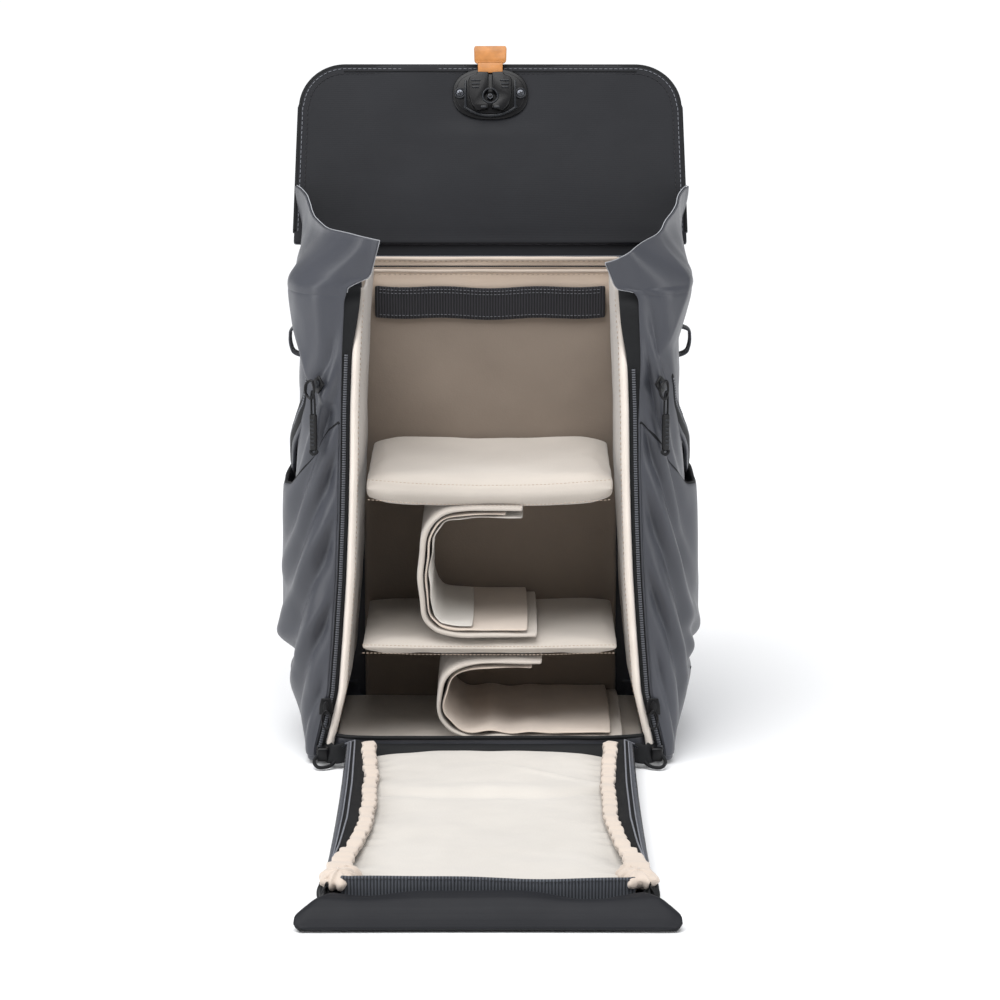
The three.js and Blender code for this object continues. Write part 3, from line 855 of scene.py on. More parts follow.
# long soft folds: t0, z0, t1, z1 of each line and its width, heights and widths in metres; then its depth
# in millimetres, below 0 where it cuts in, which fold_lift takes 1.2 times over
FOLDS = (
    (0.04, 0.372, 0.34, 0.255, 0.013, -3.6),
    (0.03, 0.330, 0.40, 0.185, 0.012, -4.6),
    (0.05, 0.345, 0.36, 0.215, 0.009, 2.6),
    (0.02, 0.270, 0.46, 0.130, 0.012, -5.0),
    (0.04, 0.290, 0.42, 0.155, 0.008, 2.4),
    (0.03, 0.205, 0.44, 0.078, 0.012, -5.4),
    (0.05, 0.230, 0.44, 0.100, 0.008, 3.0),
    (0.03, 0.140, 0.36, 0.040, 0.010, -4.6),
    (0.04, 0.158, 0.38, 0.058, 0.007, 2.8),
    (0.03, 0.085, 0.22, 0.022, 0.008, -2.6),
    (0.38, 0.098, 0.66, 0.072, 0.008, -6.0),
    (0.40, 0.112, 0.62, 0.090, 0.007, 2.6),
    (0.55, 0.330, 0.80, 0.260, 0.018, -3.0),
    (0.60, 0.390, 0.75, 0.290, 0.020, 2.2),
    (0.66, 0.190, 0.90, 0.120, 0.014, -3.0),
    (0.55, 0.450, 0.66, 0.370, 0.016, -1.6),
)

# the sewn ridge from the upper side down to the side zip: share round the side, then height
RIDGE = {
    "left": ((0.52, 0.412), (0.38, 0.368), (0.29, 0.346), (0.21, 0.324), (0.13, 0.312), (0.02, 0.300)),
    "right": ((0.52, 0.448), (0.36, 0.416), (0.26, 0.388), (0.19, 0.362), (0.14, 0.344), (0.155, 0.328),
              (0.2, 0.318)),
}
# its height, then how wide it falls off above and below, in metres
RIDGE_SHAPE = {"left": (5.5 * MM, 0.030, 0.0035), "right": (3.4 * MM, 0.011, 0.013)}


def ridge_lift(t, z, side):
    """The sewn ridge: on the left the cloth above hangs over it, on the right it is a plain crest."""
    name = label_of(side)
    high, above, below = RIDGE_SHAPE[name]
    nearest, upper = 1.0, True
    line = RIDGE[name]
    for (t0, z0), (t1, z1) in zip(line, line[1:]):
        dx, dz = (t1 - t0) * WALL_RUN, z1 - z0
        px, pz = (t - t0) * WALL_RUN, z - z0
        share = min(1.0, max(0.0, (px * dx + pz * dz) / (dx * dx + dz * dz)))
        gap = math.hypot(px - share * dx, pz - share * dz)
        if gap < nearest:
            nearest = gap
            upper = px * dz - pz * dx > 0
    reach = above if upper else below
    return high * math.exp(-nearest / reach) * (1 - smooth(0.36, 0.50, t))


def fold_lift(t, z, side):
    """How far the side cloth stands off its plain shape; the two sides' folds are shifted apart."""
    total = 0.0
    shift = 0.02 * side
    for t0, z0, t1, z1, width, depth in FOLDS:
        total += crease(t, z, t0 + shift, z0 + 0.01 * side, t1 - shift, z1, width, 1.2 * depth * MM)
    p = Vector((t * 6 + 3 * side, z * 14, side * 1.7))
    total += (noise.noise(p) * 1.3 + noise.noise(p * 2.3) * 0.5) * MM
    total += ridge_lift(t, z, side)
    return total * smooth(0.0, 0.08, t) * (1 - smooth(0.93, 1.0, t))


def wall_point(side, t, z, lift=0.0):
    """A point on the side cloth: t runs from the zip to the back, and lift is outwards."""
    points = side_section(side, z)
    p = along_section(points, t)
    ahead = along_section(points, min(t + 0.01, 1.0)) - along_section(points, max(t - 0.01, 0.0))
    out = Vector((ahead.y, -ahead.x, 0)).normalized()
    p = p + out * (lift + fold_lift(t, z, side))
    return Vector((p.x * side, p.y, p.z))


def make_wall(name, side):
    """The side's cloth from the base to the rim, from the zip round to the back."""
    low, high = FOOT_Z, SPLIT_Z + 3 * MM

    def at(u, v):
        z = low + (high - low) * v
        return wall_point(side, u, z, -1.3 * MM * smooth(SPLIT_Z + 0.2 * MM, SPLIT_Z + 2.5 * MM, z))

    wall = sheet_mesh(f"wall_cloth_{name}", at, 100, 130, SHELL_CLOTH, "case", 1.8 * MM, flip=side > 0)
    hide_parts(f"side_shell_{name}")
    back = [wall_point(side, 0.965, z, 0.3 * MM) for z in np.linspace(RIM_Z - 20 * MM, FOOT_Z + 20 * MM, 90)]
    seam = stitches(f"back_corner_stitch_{name}", back, THREAD_DARK, "case")


def make_collar(name, side):
    """The wall's standing collar."""
    top = lambda t: rim_height(side, t)

    def at(u, v):
        z = SPLIT_Z + (top(u) - SPLIT_Z) * v
        return wall_point(side, u, z, 0.08 * MM)

    cloth = sheet_mesh(f"collar_cloth_{name}", at, 90, 34, SHELL_CLOTH, None, 1.5 * MM, flip=side > 0)
    front = [wall_point(side, 0.0, z, -0.6 * MM) for z in np.linspace(SPLIT_Z + 3 * MM, top(0), 30)]
    rim = [wall_point(side, t, top(t), -0.6 * MM) for t in np.linspace(0, 1, 70)]
    edge = tube_mesh("edge", front + rim[1:], 0.42 * MM, CUT_EDGE, None, 6)
    inset = [wall_point(side, t, top(t) - 4.5 * MM, 0.3 * MM) for t in np.linspace(0.035, 0.985, 80)]
    heights = np.linspace(RIM_Z + 4 * MM, top(0.03) - 5 * MM, 14)
    down = [wall_point(side, 0.03, z, 0.3 * MM) for z in heights]
    sewn = stitches("sewn", down + inset, THREAD_DARK, None)
    collar = merged(f"collar_{name}", [cloth, edge, sewn], None)
    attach(collar, "case")
    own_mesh(collar)
    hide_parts(f"side_wing_{name}")


# the pocket's top edge slopes down from the zip, then runs level round the side
pocket_top = table([(0, 292 * MM), (0.08, 283 * MM), (0.36, 232 * MM), (0.5, 227 * MM), (0.94, 229 * MM)])


def pocket_lift(t, z):
    """How far the pocket's cloth stands off the wall."""
    gape = smooth(0.30, 0.46, t) * (1 - smooth(0.82, 0.95, t))
    belly = smooth(FOOT_Z + 8 * MM, 95 * MM, z)
    return (1.6 + gape * belly * 8.6) * MM


def make_pocket(name, side):
    """Lower outer cloth: hugs the front corner and gapes at the side as a bottle pocket."""

    def at(u, v):
        t = 0.012 + 0.93 * u
        top = pocket_top(t)
        z = FOOT_Z + 4 * MM + (top - FOOT_Z - 4 * MM) * v
        pinch = 5 * MM * bump(z, 74 * MM, 8 * MM) * smooth(0.34, 0.5, t) * (1 - smooth(0.62, 0.78, t))
        return wall_point(side, t, z, pocket_lift(t, z) - pinch)

    pocket = sheet_mesh(f"pocket_cloth_{name}", at, 54, 46, POCKET_CLOTH, "case", 1.5 * MM, flip=side > 0)
    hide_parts(f"side_pocket_{name}")
    below_top = lambda t, drop, lift: wall_point(
        side, t, pocket_top(t) - drop, pocket_lift(t, pocket_top(t)) + lift)
    hem = [below_top(t, 0, -0.6 * MM) for t in np.linspace(0.012, 0.942, 70)]
    binding = tube_mesh(f"pocket_hem_{name}", hem, 1.5 * MM, TAPE_CLOTH, "case", 8)
    row = [below_top(t, 6 * MM, 0.35 * MM) for t in np.linspace(0.02, 0.93, 70)]
    stitches(f"pocket_stitch_{name}", row, THREAD_DARK, "case")
    heights = np.linspace(66 * MM, FOOT_Z + 8 * MM, 30)
    dart = [wall_point(side, 0.5, z, pocket_lift(0.5, z) + 0.3 * MM) for z in heights]
    stitches(f"pocket_dart_{name}", dart, THREAD_DARK, "case")


# ------------------------------------------------------------------ zips
def zip_line(side, z, shift, lift):
    """A point by the front zip, moved away from the middle by shift and forwards by lift."""
    return Vector((side * (zip_x(z) + shift), FRONT_Y - lift, z))


# from these heights up the zip's tape widens, and its teeth stop 6 mm above them
TAPE_START = {"left": 340 * MM, "right": 328 * MM}


def make_main_zip(name, side):
    heights = np.linspace(16 * MM, RIM_Z + (2 if side < 0 else -1) * MM, 90)
    start = TAPE_START[name]

    def tape_at(u, v):
        z = heights[0] + (heights[-1] - heights[0]) * v
        wide = smooth(start, start + 50 * MM, z)
        outer = 2 * MM + EDGE_OUT[name](z)
        inner = -5.4 * MM - 4.5 * MM * wide
        p = zip_line(side, z, inner + (outer - inner) * u, 1.2 * MM)
        p.y += (1 - u) * (1.2 + 2 * wide) * MM + 7 * MM * smooth(RIM_Z - 16 * MM, RIM_Z - 2 * MM, z)
        ruffle = noise.noise(Vector((z * 130, side, u))) * 1.2 * MM * wide
        return p + Vector((0, ruffle, 0))

    tape = sheet_mesh(f"zip_tape_{name}", tape_at, 8, 120, TAPE_CLOTH, "case", 0.9 * MM, flip=side < 0)
    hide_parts(f"main_zip_{name}")
    line = [zip_line(side, z, -1.2 * MM, 2.3 * MM) for z in np.linspace(16 * MM, start + 6 * MM, 70)]
    coil = zip_teeth(f"zip_coil_{name}", line, (0, -1, 0), ZIP_TEETH, "case", 2.0 * MM, 1.4 * MM, 1.3 * MM)
    row = [wall_point(side, 0.022, z, 0.3 * MM) for z in np.linspace(20 * MM, RIM_Z - 10 * MM, 70)]
    sewn = stitches(f"zip_stitch_{name}", row, THREAD_DARK, "case", 3.4 * MM, 2.4 * MM, 0.32 * MM)


def make_slider(name):
    """Front zip slider, its crown and a ring pull lying against the base corner."""
    lo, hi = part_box(f"main_slider_{name}")
    cx, cz = (lo.x + hi.x) / 2, (lo.z + hi.z) / 2
    body = f"zip_slider_{name}"
    place = lambda a, b, h: Vector((cx + a, hi.y - 0.2 * MM - h, cz + b))
    outline = [(-6 * MM, -7 * MM), (6 * MM, -7 * MM), (5.4 * MM, 1 * MM), (4 * MM, 7 * MM)]
    outline += [(-4 * MM, 7 * MM), (-5.4 * MM, 1 * MM)]
    plate = prism(f"slider_plate_{name}", outline, place, 0, 1.6 * MM, PLASTIC, None, 0.6 * MM)
    dome = oval(2.4 * MM, 5 * MM, 16)
    crown = prism(f"slider_crown_{name}", dome, place, 1.4 * MM, 3.4 * MM, PLASTIC, None, 0.7 * MM)
    loop = [(0, -3, 3.2), (3.4, -8, 3.8), (2.2, -17, 3.4), (-2.2, -17, 3.4), (-3.4, -8, 3.8)]
    ring = cord_loop(f"slider_ring_{name}", loop, place, 40, 0.9 * MM, PLASTIC, 8)
    made = merged(f"main_slider_pull_{name}", [plate, crown, ring], body)
    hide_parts(f"main_slider_{name}")


# ------------------------------------------------------------------ padded inside
def make_side_pad(name, side):
    """Padded wall beside the bays, rounded over at its front edge."""
    low = FLOOR_LINING[1].z - 3 * MM
    high = RIM_Z - 2 * MM
    depth_back = LINING[0].y - 1 * MM
    front = FRONT_Y - 1 * MM
    start = TAPE_START[name]

    def back_off(z):
        """The pad's front edge steps back where the zip tape widens, and again at the rim."""
        at_tape = 9 * MM * smooth(start + 2 * MM, start + 34 * MM, z)
        return at_tape + 16 * MM * smooth(RIM_Z - 34 * MM, RIM_Z - 8 * MM, z)

    def inner(z, y):
        pucker = noise.noise(Vector((y * 22, z * 16, side * 3))) * 1.3 * MM
        wave = noise.noise(Vector((y * 60, z * 45, side))) * 0.5 * MM
        ahead = 1.0 - smooth(front + 12 * MM, -20 * MM, y)
        return pad_x(z) + 0.3 * MM + 1.4 * MM * ahead + (pucker + wave) * (1 - 0.6 * ahead)

    def at(u, v):
        z = low + (high - low) * v
        if u < 0.72:
            y = depth_back + (front + 4 * MM + back_off(z) - depth_back) * (u / 0.72)
            return Vector((side * inner(z, y), y, z))
        # round the front edge: inner face, nose, outer face
        a = (u - 0.72) / 0.28 * math.pi
        nose = inner(z, front + 4 * MM)
        r = (zip_x(z) - 5.5 * MM - nose) / 2
        x = nose + r - math.cos(a) * r
        swell = 5.5 * MM + 0.8 * MM * noise.noise(Vector((z * 60, side, 2)))
        return Vector((side * x, front + 4 * MM + back_off(z) - math.sin(a) * swell, z))

    # painted shade: the cream darkens behind the pad's front edge, and the edge itself is painted lighter
    pad = sheet_mesh(f"side_padding_{name}", at, 44, 60, CREAM_SIDE, "case", 2.5 * MM, flip=side < 0)
    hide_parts(f"side_pad_{name}")
    y = front + 9 * MM
    heights = np.linspace(low + 8 * MM, high - 4 * MM, 90)
    seam = [Vector((side * (inner(z, y) - 0.3 * MM), y, z)) for z in heights]
    sewn = stitches(f"side_padding_seam_{name}", seam, THREAD_CREAM, "case", 4 * MM, 2.6 * MM, 0.35 * MM)


def make_back_lining():
    """The padded back wall below the rim."""
    lo, hi = LINING
    wide = hi.x - 24 * MM
    web_lo, web_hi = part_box("back_webbing")

    def at(u, v):
        x = -wide + 2 * wide * u
        z = lo.z + (hi.z - lo.z) * v
        inside = smooth(lo.z, lo.z + 40 * MM, z) * (1 - smooth(web_lo.z - 30 * MM, web_lo.z, z))
        crown = 2.2 * MM * (1 - (2 * u - 1) ** 4) * inside
        band = 1.6 * MM * (bump(z, hi.z - 5 * MM, 5 * MM) + bump(z, web_hi.z + 9 * MM, 6 * MM))
        rumple = noise.noise(Vector((x * 14, 0.5, z * 20))) * 1.6 * MM
        rumple += noise.noise(Vector((x * 45, 4, z * 38))) * 0.5 * MM
        return Vector((x, lo.y - crown * 0.4 - band - rumple * 0.8, z))

    # painted shade: the cream is darker below the wall's top band
    lining = sheet_mesh("back_padding", at, 54, 90, CREAM_BACK, "case", 7 * MM)
    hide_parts("back_lining", "back_board")


def make_back_band():
    """The back wall's top edge: two cream rolls, a dark seam between them and two rows of stitching."""
    lo, hi = LINING
    wide = hi.x - 24 * MM
    top = hi.z
    for label, drop, proud, radius in (("upper", 2.0, 2.4, 1.7), ("lower", 12.5, 2.0, 1.5)):
        z = top - drop * MM
        line = []
        for x in np.linspace(-wide, wide, 60):
            line.append(Vector((x, lo.y - proud * MM, z + 0.6 * MM * noise.noise(Vector((x * 20, z, 1))))))
        tube_mesh(f"back_band_{label}", line, radius * MM, CREAM_EDGE, "case", 8)
    xs = np.linspace(-wide + 4 * MM, wide - 4 * MM, 60)
    seam = [Vector((x, lo.y - 2.2 * MM, top - 8.6 * MM)) for x in xs]
    tube_mesh("back_band_seam", seam, 0.7 * MM, THREAD_DARK, "case", 6)
    xs = np.linspace(-wide + 6 * MM, wide - 6 * MM, 80)
    for label, drop in (("a", 15.5 * MM), ("b", 4 * MM)):
        row = [Vector((x, lo.y - 3.1 * MM, top - drop)) for x in xs]
        sewn = stitches(f"back_band_stitch_{label}", row, THREAD_CREAM, "case", 4 * MM, 2.6 * MM, 0.35 * MM)


def make_back_strap():
    """The ribbed webbing sewn across the back wall."""
    web_lo, web_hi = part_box("back_webbing")

    def web_at(u, v):
        x = web_lo.x + (web_hi.x - web_lo.x) * u
        z = web_lo.z + (web_hi.z - web_lo.z) * v
        sag = 1.6 * MM * math.sin(math.pi * u) + 0.8 * MM * math.sin(5 * u * math.pi)
        return Vector((x, web_lo.y - 1.6 * MM - 0.4 * MM * math.sin(9 * u), z - sag))

    web = sheet_mesh("back_strap_web", web_at, 60, 8, RIB_X, "case", 1.8 * MM)
    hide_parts("back_webbing")
    for label, share in (("top", 0.12), ("middle", 0.80), ("foot", 0.90)):
        row = [web_at(u, share) + Vector((0, -0.4 * MM, 0)) for u in np.linspace(0.02, 0.98, 90)]
        sewn = stitches(f"back_strap_stitch_{label}", row, THREAD, "case", 3.6 * MM, 2.2 * MM, 0.28 * MM)


def make_floor_lining():
    lo, hi = FLOOR_LINING

    def at(u, v):
        x = lo.x + (hi.x - lo.x) * u
        y = lo.y + (hi.y - lo.y) * v
        crown = 2.0 * MM * (1 - (2 * u - 1) ** 4) * (1 - (2 * v - 1) ** 4)
        return Vector((x, y, hi.z - 2 * MM + crown + noise.noise(Vector((x * 20, y * 25, 3))) * 1.0 * MM))

    pad = sheet_mesh("floor_padding", at, 44, 30, CREAM, "case", 6 * MM)
    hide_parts("base_lining")


def make_shelf(node, name, sag, lift_back):
    """A padded shelf: swollen cloth, a sagging front edge with a bound seam round it."""
    lo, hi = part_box(node)
    half = (hi.z - lo.z) / 2
    shrink = 1.2 * MM
    nx, ny, ring = 40, 22, 10
    verts = []
    mid = (lo + hi) / 2
    for i in range(nx + 1):
        x = lo.x + 1 * MM + (hi.x - lo.x - 2 * MM) * i / nx
        side_pinch = 1 - 0.25 * smooth(0.82, 1.0, abs(2 * i / nx - 1))
        for k in range(2 * (ny + ring)):
            if k < ny:
                y = lo.y + half + (hi.y - lo.y - half) * k / ny
                dz = 1.0
            elif k < ny + ring:
                a = math.pi * (k - ny) / ring
                y = hi.y
                dz = math.cos(a)
            elif k < 2 * ny + ring:
                y = hi.y - (hi.y - lo.y - half) * (k - ny - ring) / ny
                dz = -1.0
            else:
                a = math.pi * (k - 2 * ny - ring) / ring
                y = lo.y + half - math.sin(a) * half
                dz = -math.cos(a)
            z = mid.z + dz * (half - shrink) * side_pinch
            verts.append(Vector((x, y, z)))
    shelf = lofted(name, verts, 2 * (ny + ring), CREAM, None)
    puffed(shelf, 4.0, 3 * MM, 4.5 * MM)
    for vertex in shelf.data.vertices:
        p = vertex.co
        across = (p.x - mid.x) / (hi.x - mid.x)
        depth = (p.y - lo.y) / (hi.y - lo.y)
        p.z += -sag * (1 - across * across) * (1 - depth) + lift_back * depth
        p.z += 0.9 * MM * noise.noise(Vector((p.x * 18, p.y * 22, 1)))
        p.x += 0.6 * MM * noise.noise(Vector((p.y * 40, p.z * 40, 9)))
    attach(shelf, "case")
    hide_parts(node)
    for label, share in (("top", 0.70), ("foot", -0.70)):
        row = []
        for x in np.linspace(lo.x + 5 * MM, hi.x - 5 * MM, 90):
            across = (x - mid.x) / (hi.x - mid.x)
            z = mid.z + share * half - sag * (1 - across * across)
            z += 0.9 * MM * noise.noise(Vector((x * 18, lo.y * 22, 1)))
            row.append(Vector((x, lo.y + half * (1 - math.sqrt(1 - share * share)) - 1.4 * MM, z)))
        sewn = stitches(f"{name}_seam_{label}", row, THREAD_CREAM, "case", 3.8 * MM, 2.4 * MM, 0.3 * MM)


# the folded pads seen from the front, from the free top edge round the bend to the foot, in millimetres
GOGGLE_LINE = [(28, 215.5), (-18, 215.5), (-42, 210), (-53, 193), (-57, 164), (-56, 136), (-50, 118),
               (-30, 109), (40, 108.4)]
CONTROLLER_LINE = [(44, 84.5), (2, 84.5), (-24, 81), (-38, 68), (-42, 51), (-38, 34), (-24, 22.5),
                   (20, 20.2), (112, 20.2)]


def folded_layer(name, line, inset, thick, front, back, waves, paint, start, end, seed):
    """One padded layer of a folded divider, inset towards the inside of its bend."""
    pts = curve_points([mm(x, 0, z) for x, z in line], 120)
    pts = resample(pts, 2 * MM)
    pts = pts[int(len(pts) * start): max(3, int(len(pts) * end))]
    rows = []
    for i, p in enumerate(pts):
        along = direction_at(pts, i)
        rows.append((p, Vector((-along.z, 0, along.x))))

    def at(u, v):
        f = u * (len(rows) - 1)
        k = min(int(f), len(rows) - 2)
        p = rows[k][0].lerp(rows[k + 1][0], f - k)
        inward = rows[k][1].lerp(rows[k + 1][1], f - k).normalized()
        ripple = waves * math.sin(u * 46 + seed) * smooth(0.15, 0.35, u) * (1 - smooth(0.6, 0.9, u))
        ripple += 0.8 * MM * noise.noise(Vector((u * 9 + seed, v * 3, seed)))
        edge = 1.6 * MM * noise.noise(Vector((u * 7, seed, 2)))
        ring = v * 2 * math.pi
        # closed oval section: depth across Y, thickness across the layer
        y = (front + back) / 2 - squared(math.cos(ring), 0.18) * (back - front) / 2
        t = squared(math.sin(ring), 0.6) * thick / 2
        q = p + inward * (inset + t + ripple)
        q.y = y + (edge if y < 0 else 0)
        return q

    nu, nv = max(20, len(rows)), 28
    verts = [at(i / nu, j / nv) for i in range(nu + 1) for j in range(nv)]
    layer = lofted(name, verts, nv, paint, "case")
    modified(layer, "SUBSURF", levels=1, render_levels=1)
    return layer


def make_folded_pads():
    """Thin padded dividers, each folded over from layers of cloth and foam."""
    lo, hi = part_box("divider_goggles")
    outer = folded_layer(
        "goggles_pad_outer", GOGGLE_LINE, 0, 5.2 * MM, lo.y, hi.y, 0.5 * MM, CREAM, 0, 1, 1)
    inner = folded_layer(
        "goggles_pad_inner", GOGGLE_LINE, 4.6 * MM, 2.2 * MM, lo.y + 1.5 * MM, hi.y,
        0.5 * MM, CREAM_EDGE, 0.06, 0.97, 2)
    third = folded_layer(
        "goggles_pad_lip", GOGGLE_LINE, 7.6 * MM, 1.6 * MM, lo.y + 3.5 * MM, hi.y - 10 * MM,
        0.7 * MM, CREAM_SMOOTH, 0.0, 0.8, 3)
    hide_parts("divider_goggles")
    lo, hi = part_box("divider_controller")
    wrap = folded_layer(
        "controller_pad_outer", CONTROLLER_LINE, -0.6 * MM, 4.2 * MM, lo.y, hi.y,
        0.9 * MM, CREAM, 0, 1, 4)
    lining = folded_layer(
        "controller_pad_inner", CONTROLLER_LINE, 4.2 * MM, 2.0 * MM, lo.y + 2 * MM, hi.y,
        1.3 * MM, CREAM_EDGE, 0.03, 0.97, 5)
    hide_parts("divider_controller")


# ------------------------------------------------------------------ base and front panel
PANEL_FAR = PANEL[1].y
PANEL_NEAR = PANEL[0].y
PANEL_HALF = PANEL[1].x
PANEL_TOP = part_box("panel_lining")[1].z
# the binding's distance from the middle, by depth
BINDING_X = table([(-475 * MM, 111 * MM), (-437 * MM, 108 * MM), (-387 * MM, 99 * MM), (-326 * MM, 93 * MM),
                   (-233 * MM, 94 * MM), (-116 * MM, 100 * MM)])


def make_base():
    """The base's sides, its floor and a bound lip round its front half."""
    lo, hi = BASE

    def ring_at(u, v):
        a = 2 * math.pi * u
        c = squared(math.cos(a), 0.22)
        s = squared(math.sin(a), 0.22)
        tuck = 1 - 0.045 * (1 - smooth(0, 0.45, v))
        x = c * (hi.x - 0.5 * MM) * tuck
        y = (lo.y + hi.y) / 2 + s * (hi.y - lo.y) / 2 * tuck
        z = lo.z + 0.6 * MM + (hi.z - lo.z - 2.2 * MM) * v
        return Vector((x, y, z + 0.6 * MM * noise.noise(Vector((x * 30, y * 30, 5)))))

    def floor_at(u, v):
        x = (2 * u - 1) * (hi.x - 9 * MM)
        y = lo.y + 8 * MM + (hi.y - lo.y - 16 * MM) * v
        return ring_at(u, 0.03) * 0.02 + Vector((x, y, 2.2 * MM)) * 0.98

    base = sheet_mesh("base_cloth", ring_at, 120, 8, SHELL_CLOTH, "case", 2 * MM)
    floor = sheet_mesh("base_floor", floor_at, 20, 20, SHELL_CLOTH, "case", 1.4 * MM)
    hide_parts("base_panel")
    lip = [ring_at(0.5 + 0.5 * t, 1.0) + Vector((0, 0, 0.4 * MM)) for t in np.linspace(0.04, 0.96, 90)]
    tube_mesh("base_lip_binding", lip, 1.7 * MM, TAPE_CLOTH, "case", 8)


def lining_height(x, y):
    """The panel's lining: a quilted floor with one broad fold across its middle."""
    run = (PANEL_FAR - y) / (PANEL_FAR - PANEL_NEAR)
    across = abs(x) / (100 * MM)
    fold_y = -258 * MM + 26 * MM * across ** 2 - 10 * MM * across
    fold = -3.2 * MM * bump(y, fold_y, 7 * MM) + 2.6 * MM * bump(y, fold_y + 14 * MM, 13 * MM)
    pillow = 5.0 * MM * (1 - across ** 4) * smooth(0.0, 0.12, run) * (1 - smooth(0.88, 1, run))
    small = noise.noise(Vector((x * 16, y * 22, 2))) * 2.0 * MM
    small += noise.noise(Vector((x * 40, y * 60, 8))) * 0.8 * MM
    gather = 2.4 * MM * smooth(0.72, 1.0, across) * math.sin(y * 260 + 3 * math.sin(y * 70) + x * 30)
    diagonal = 1.8 * MM * bump(x - 62 * MM, -(y + 212 * MM) * 1.5, 6 * MM) * bump(y, -205 * MM, 22 * MM)
    return PANEL_TOP - 4 * MM + pillow + fold * (1 - 0.4 * across) + small + gather * 0.6 + diagonal


def make_panel_lining():
    """The panel's quilted lining; its edge at the pack is an arc that rolls down."""
    half = 104 * MM
    far_arc = lambda x: PANEL_FAR - 1 * MM - 17 * MM * (abs(x) / half) ** 2.6

    def at(u, v):
        x = (2 * u - 1) * half
        far, near = far_arc(x), PANEL_NEAR + 14 * MM
        y = near + (far - near) * v
        roll = smooth(0.955, 1.0, v)
        z = lining_height(x, y) * (1 - roll) + (PANEL_TOP - 5 * MM) * roll
        return Vector((x, y, z - 7 * MM * roll * roll))

    lining = sheet_mesh("panel_padding", at, 70, 96, CREAM_SMOOTH, "front_panel", 3.5 * MM)
    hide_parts("panel_lining")


def make_panel_outer():
    """The panel's outer cloth, underneath while it lies open."""

    def at(u, v):
        x = (2 * u - 1) * (PANEL_HALF - 0.5 * MM)
        y = PANEL_NEAR + (PANEL_FAR - PANEL_NEAR) * v
        return Vector((x, y, PANEL[1].z + noise.noise(Vector((x * 12, y * 12, 4))) * 0.9 * MM))

    outer = sheet_mesh("panel_cloth", at, 30, 50, SHELL_CLOTH, "front_panel", 2 * MM)
    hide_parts("panel_outer")


def gusset_point(side, y, share):
    """From the binding over the folded gusset and down to the outer cloth."""
    run = (PANEL_FAR - y) / (PANEL_FAR - PANEL_NEAR)
    inner = BINDING_X(y) + 3 * MM
    bow = 2.5 * MM * math.sin(math.pi * run)
    path = [(inner, 23.5), (inner + 0.45 * (PANEL_HALF - inner), 25.4), (PANEL_HALF - 4 * MM - bow, 24.2)]
    path += [(PANEL_HALF - 0.6 * MM - bow * 0.7, 19), (PANEL_HALF - 1.2 * MM - bow * 0.5, 11)]
    path += [(PANEL_HALF - 0.6 * MM, 4.6)]
    f = share * (len(path) - 1)
    k = min(int(f), len(path) - 2)
    x = path[k][0] + (path[k + 1][0] - path[k][0]) * (f - k)
    z = (path[k][1] + (path[k + 1][1] - path[k][1]) * (f - k)) * MM
    z += 0.8 * MM * noise.noise(Vector((y * 25, share * 3, side)))
    return Vector((side * x, y, z))


def make_gusset(name, side):
    """The folded side of the panel, with three lines of piping and its half of the zip."""

    def at(u, v):
        y = PANEL_NEAR + 4 * MM + (PANEL_FAR - PANEL_NEAR - 6 * MM) * v
        return gusset_point(side, y, u)

    gusset = sheet_mesh(f"gusset_cloth_{name}", at, 20, 60, TAPE_CLOTH, "front_panel", flip=side < 0)
    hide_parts(f"panel_gusset_{name}")
    ys = np.linspace(PANEL_NEAR + 30 * MM, PANEL_FAR - 6 * MM, 70)
    pipings = (("inner", 0.24, 0.7, THREAD), ("outer", 0.36, 0.6, THREAD), ("rim", 0.5, 0.9, PLASTIC_LIGHT))
    for label, share, radius, paint in pipings:
        line = [gusset_point(side, y, share) + Vector((0, 0, 0.5 * MM)) for y in ys]
        line.append(line[-1] + Vector((side * 5 * MM, 3 * MM, -3 * MM)))
        piping = tube_mesh(f"gusset_piping_{label}_{name}", line, radius * MM, paint, "front_panel", 7)
    chain = [gusset_point(side, y, 0.43) + Vector((0, 0, 0.2 * MM)) for y in ys]
    teeth = zip_teeth(f"panel_coil_{name}", chain, (0, 0, 1), ZIP_TEETH, "front_panel")
    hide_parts(f"panel_zip_{name}")


def make_binding(name, side):
    """The cream binding between lining and gusset, puckered by its seam."""
    ys = np.linspace(-474 * MM, PANEL_FAR - 3 * MM, 130)
    line = []
    for y in ys:
        far = smooth(-130 * MM, PANEL_FAR, y)
        x = BINDING_X(y) + 2 * MM * noise.noise(Vector((y * 30, side * 4, 0))) + far * 3 * MM
        z = 25.2 * MM + 1.4 * MM * noise.noise(Vector((y * 40, side, 7))) - far * 6 * MM
        line.append(Vector((side * x, y, z)))

    wide = lambda f: 5.2 * MM + 0.8 * MM * math.sin(f * 140) + 4.5 * MM * (1 - smooth(0.06, 0.24, f))
    strip = tube_mesh(
        f"panel_binding_{name}", line, 0, CREAM_EDGE, "front_panel", 14, flat=(wide, 2.6 * MM), up=(0, 0, 1))
    for vertex in strip.data.vertices:
        p = vertex.co
        p.z += 0.8 * MM * math.sin(p.y * 420 + 2.5 * math.sin(p.y * 90) + p.x * 60)
    seam = [p + Vector((-side * 5.6 * MM, 0, -0.4 * MM)) for p in line[6:]]
    # the seam uses the back wall's cream with its painted shade, 0.8 times as dark at this height
    tube_mesh(f"panel_binding_seam_{name}", seam, 0.8 * MM, CREAM_BACK, "front_panel", 6)


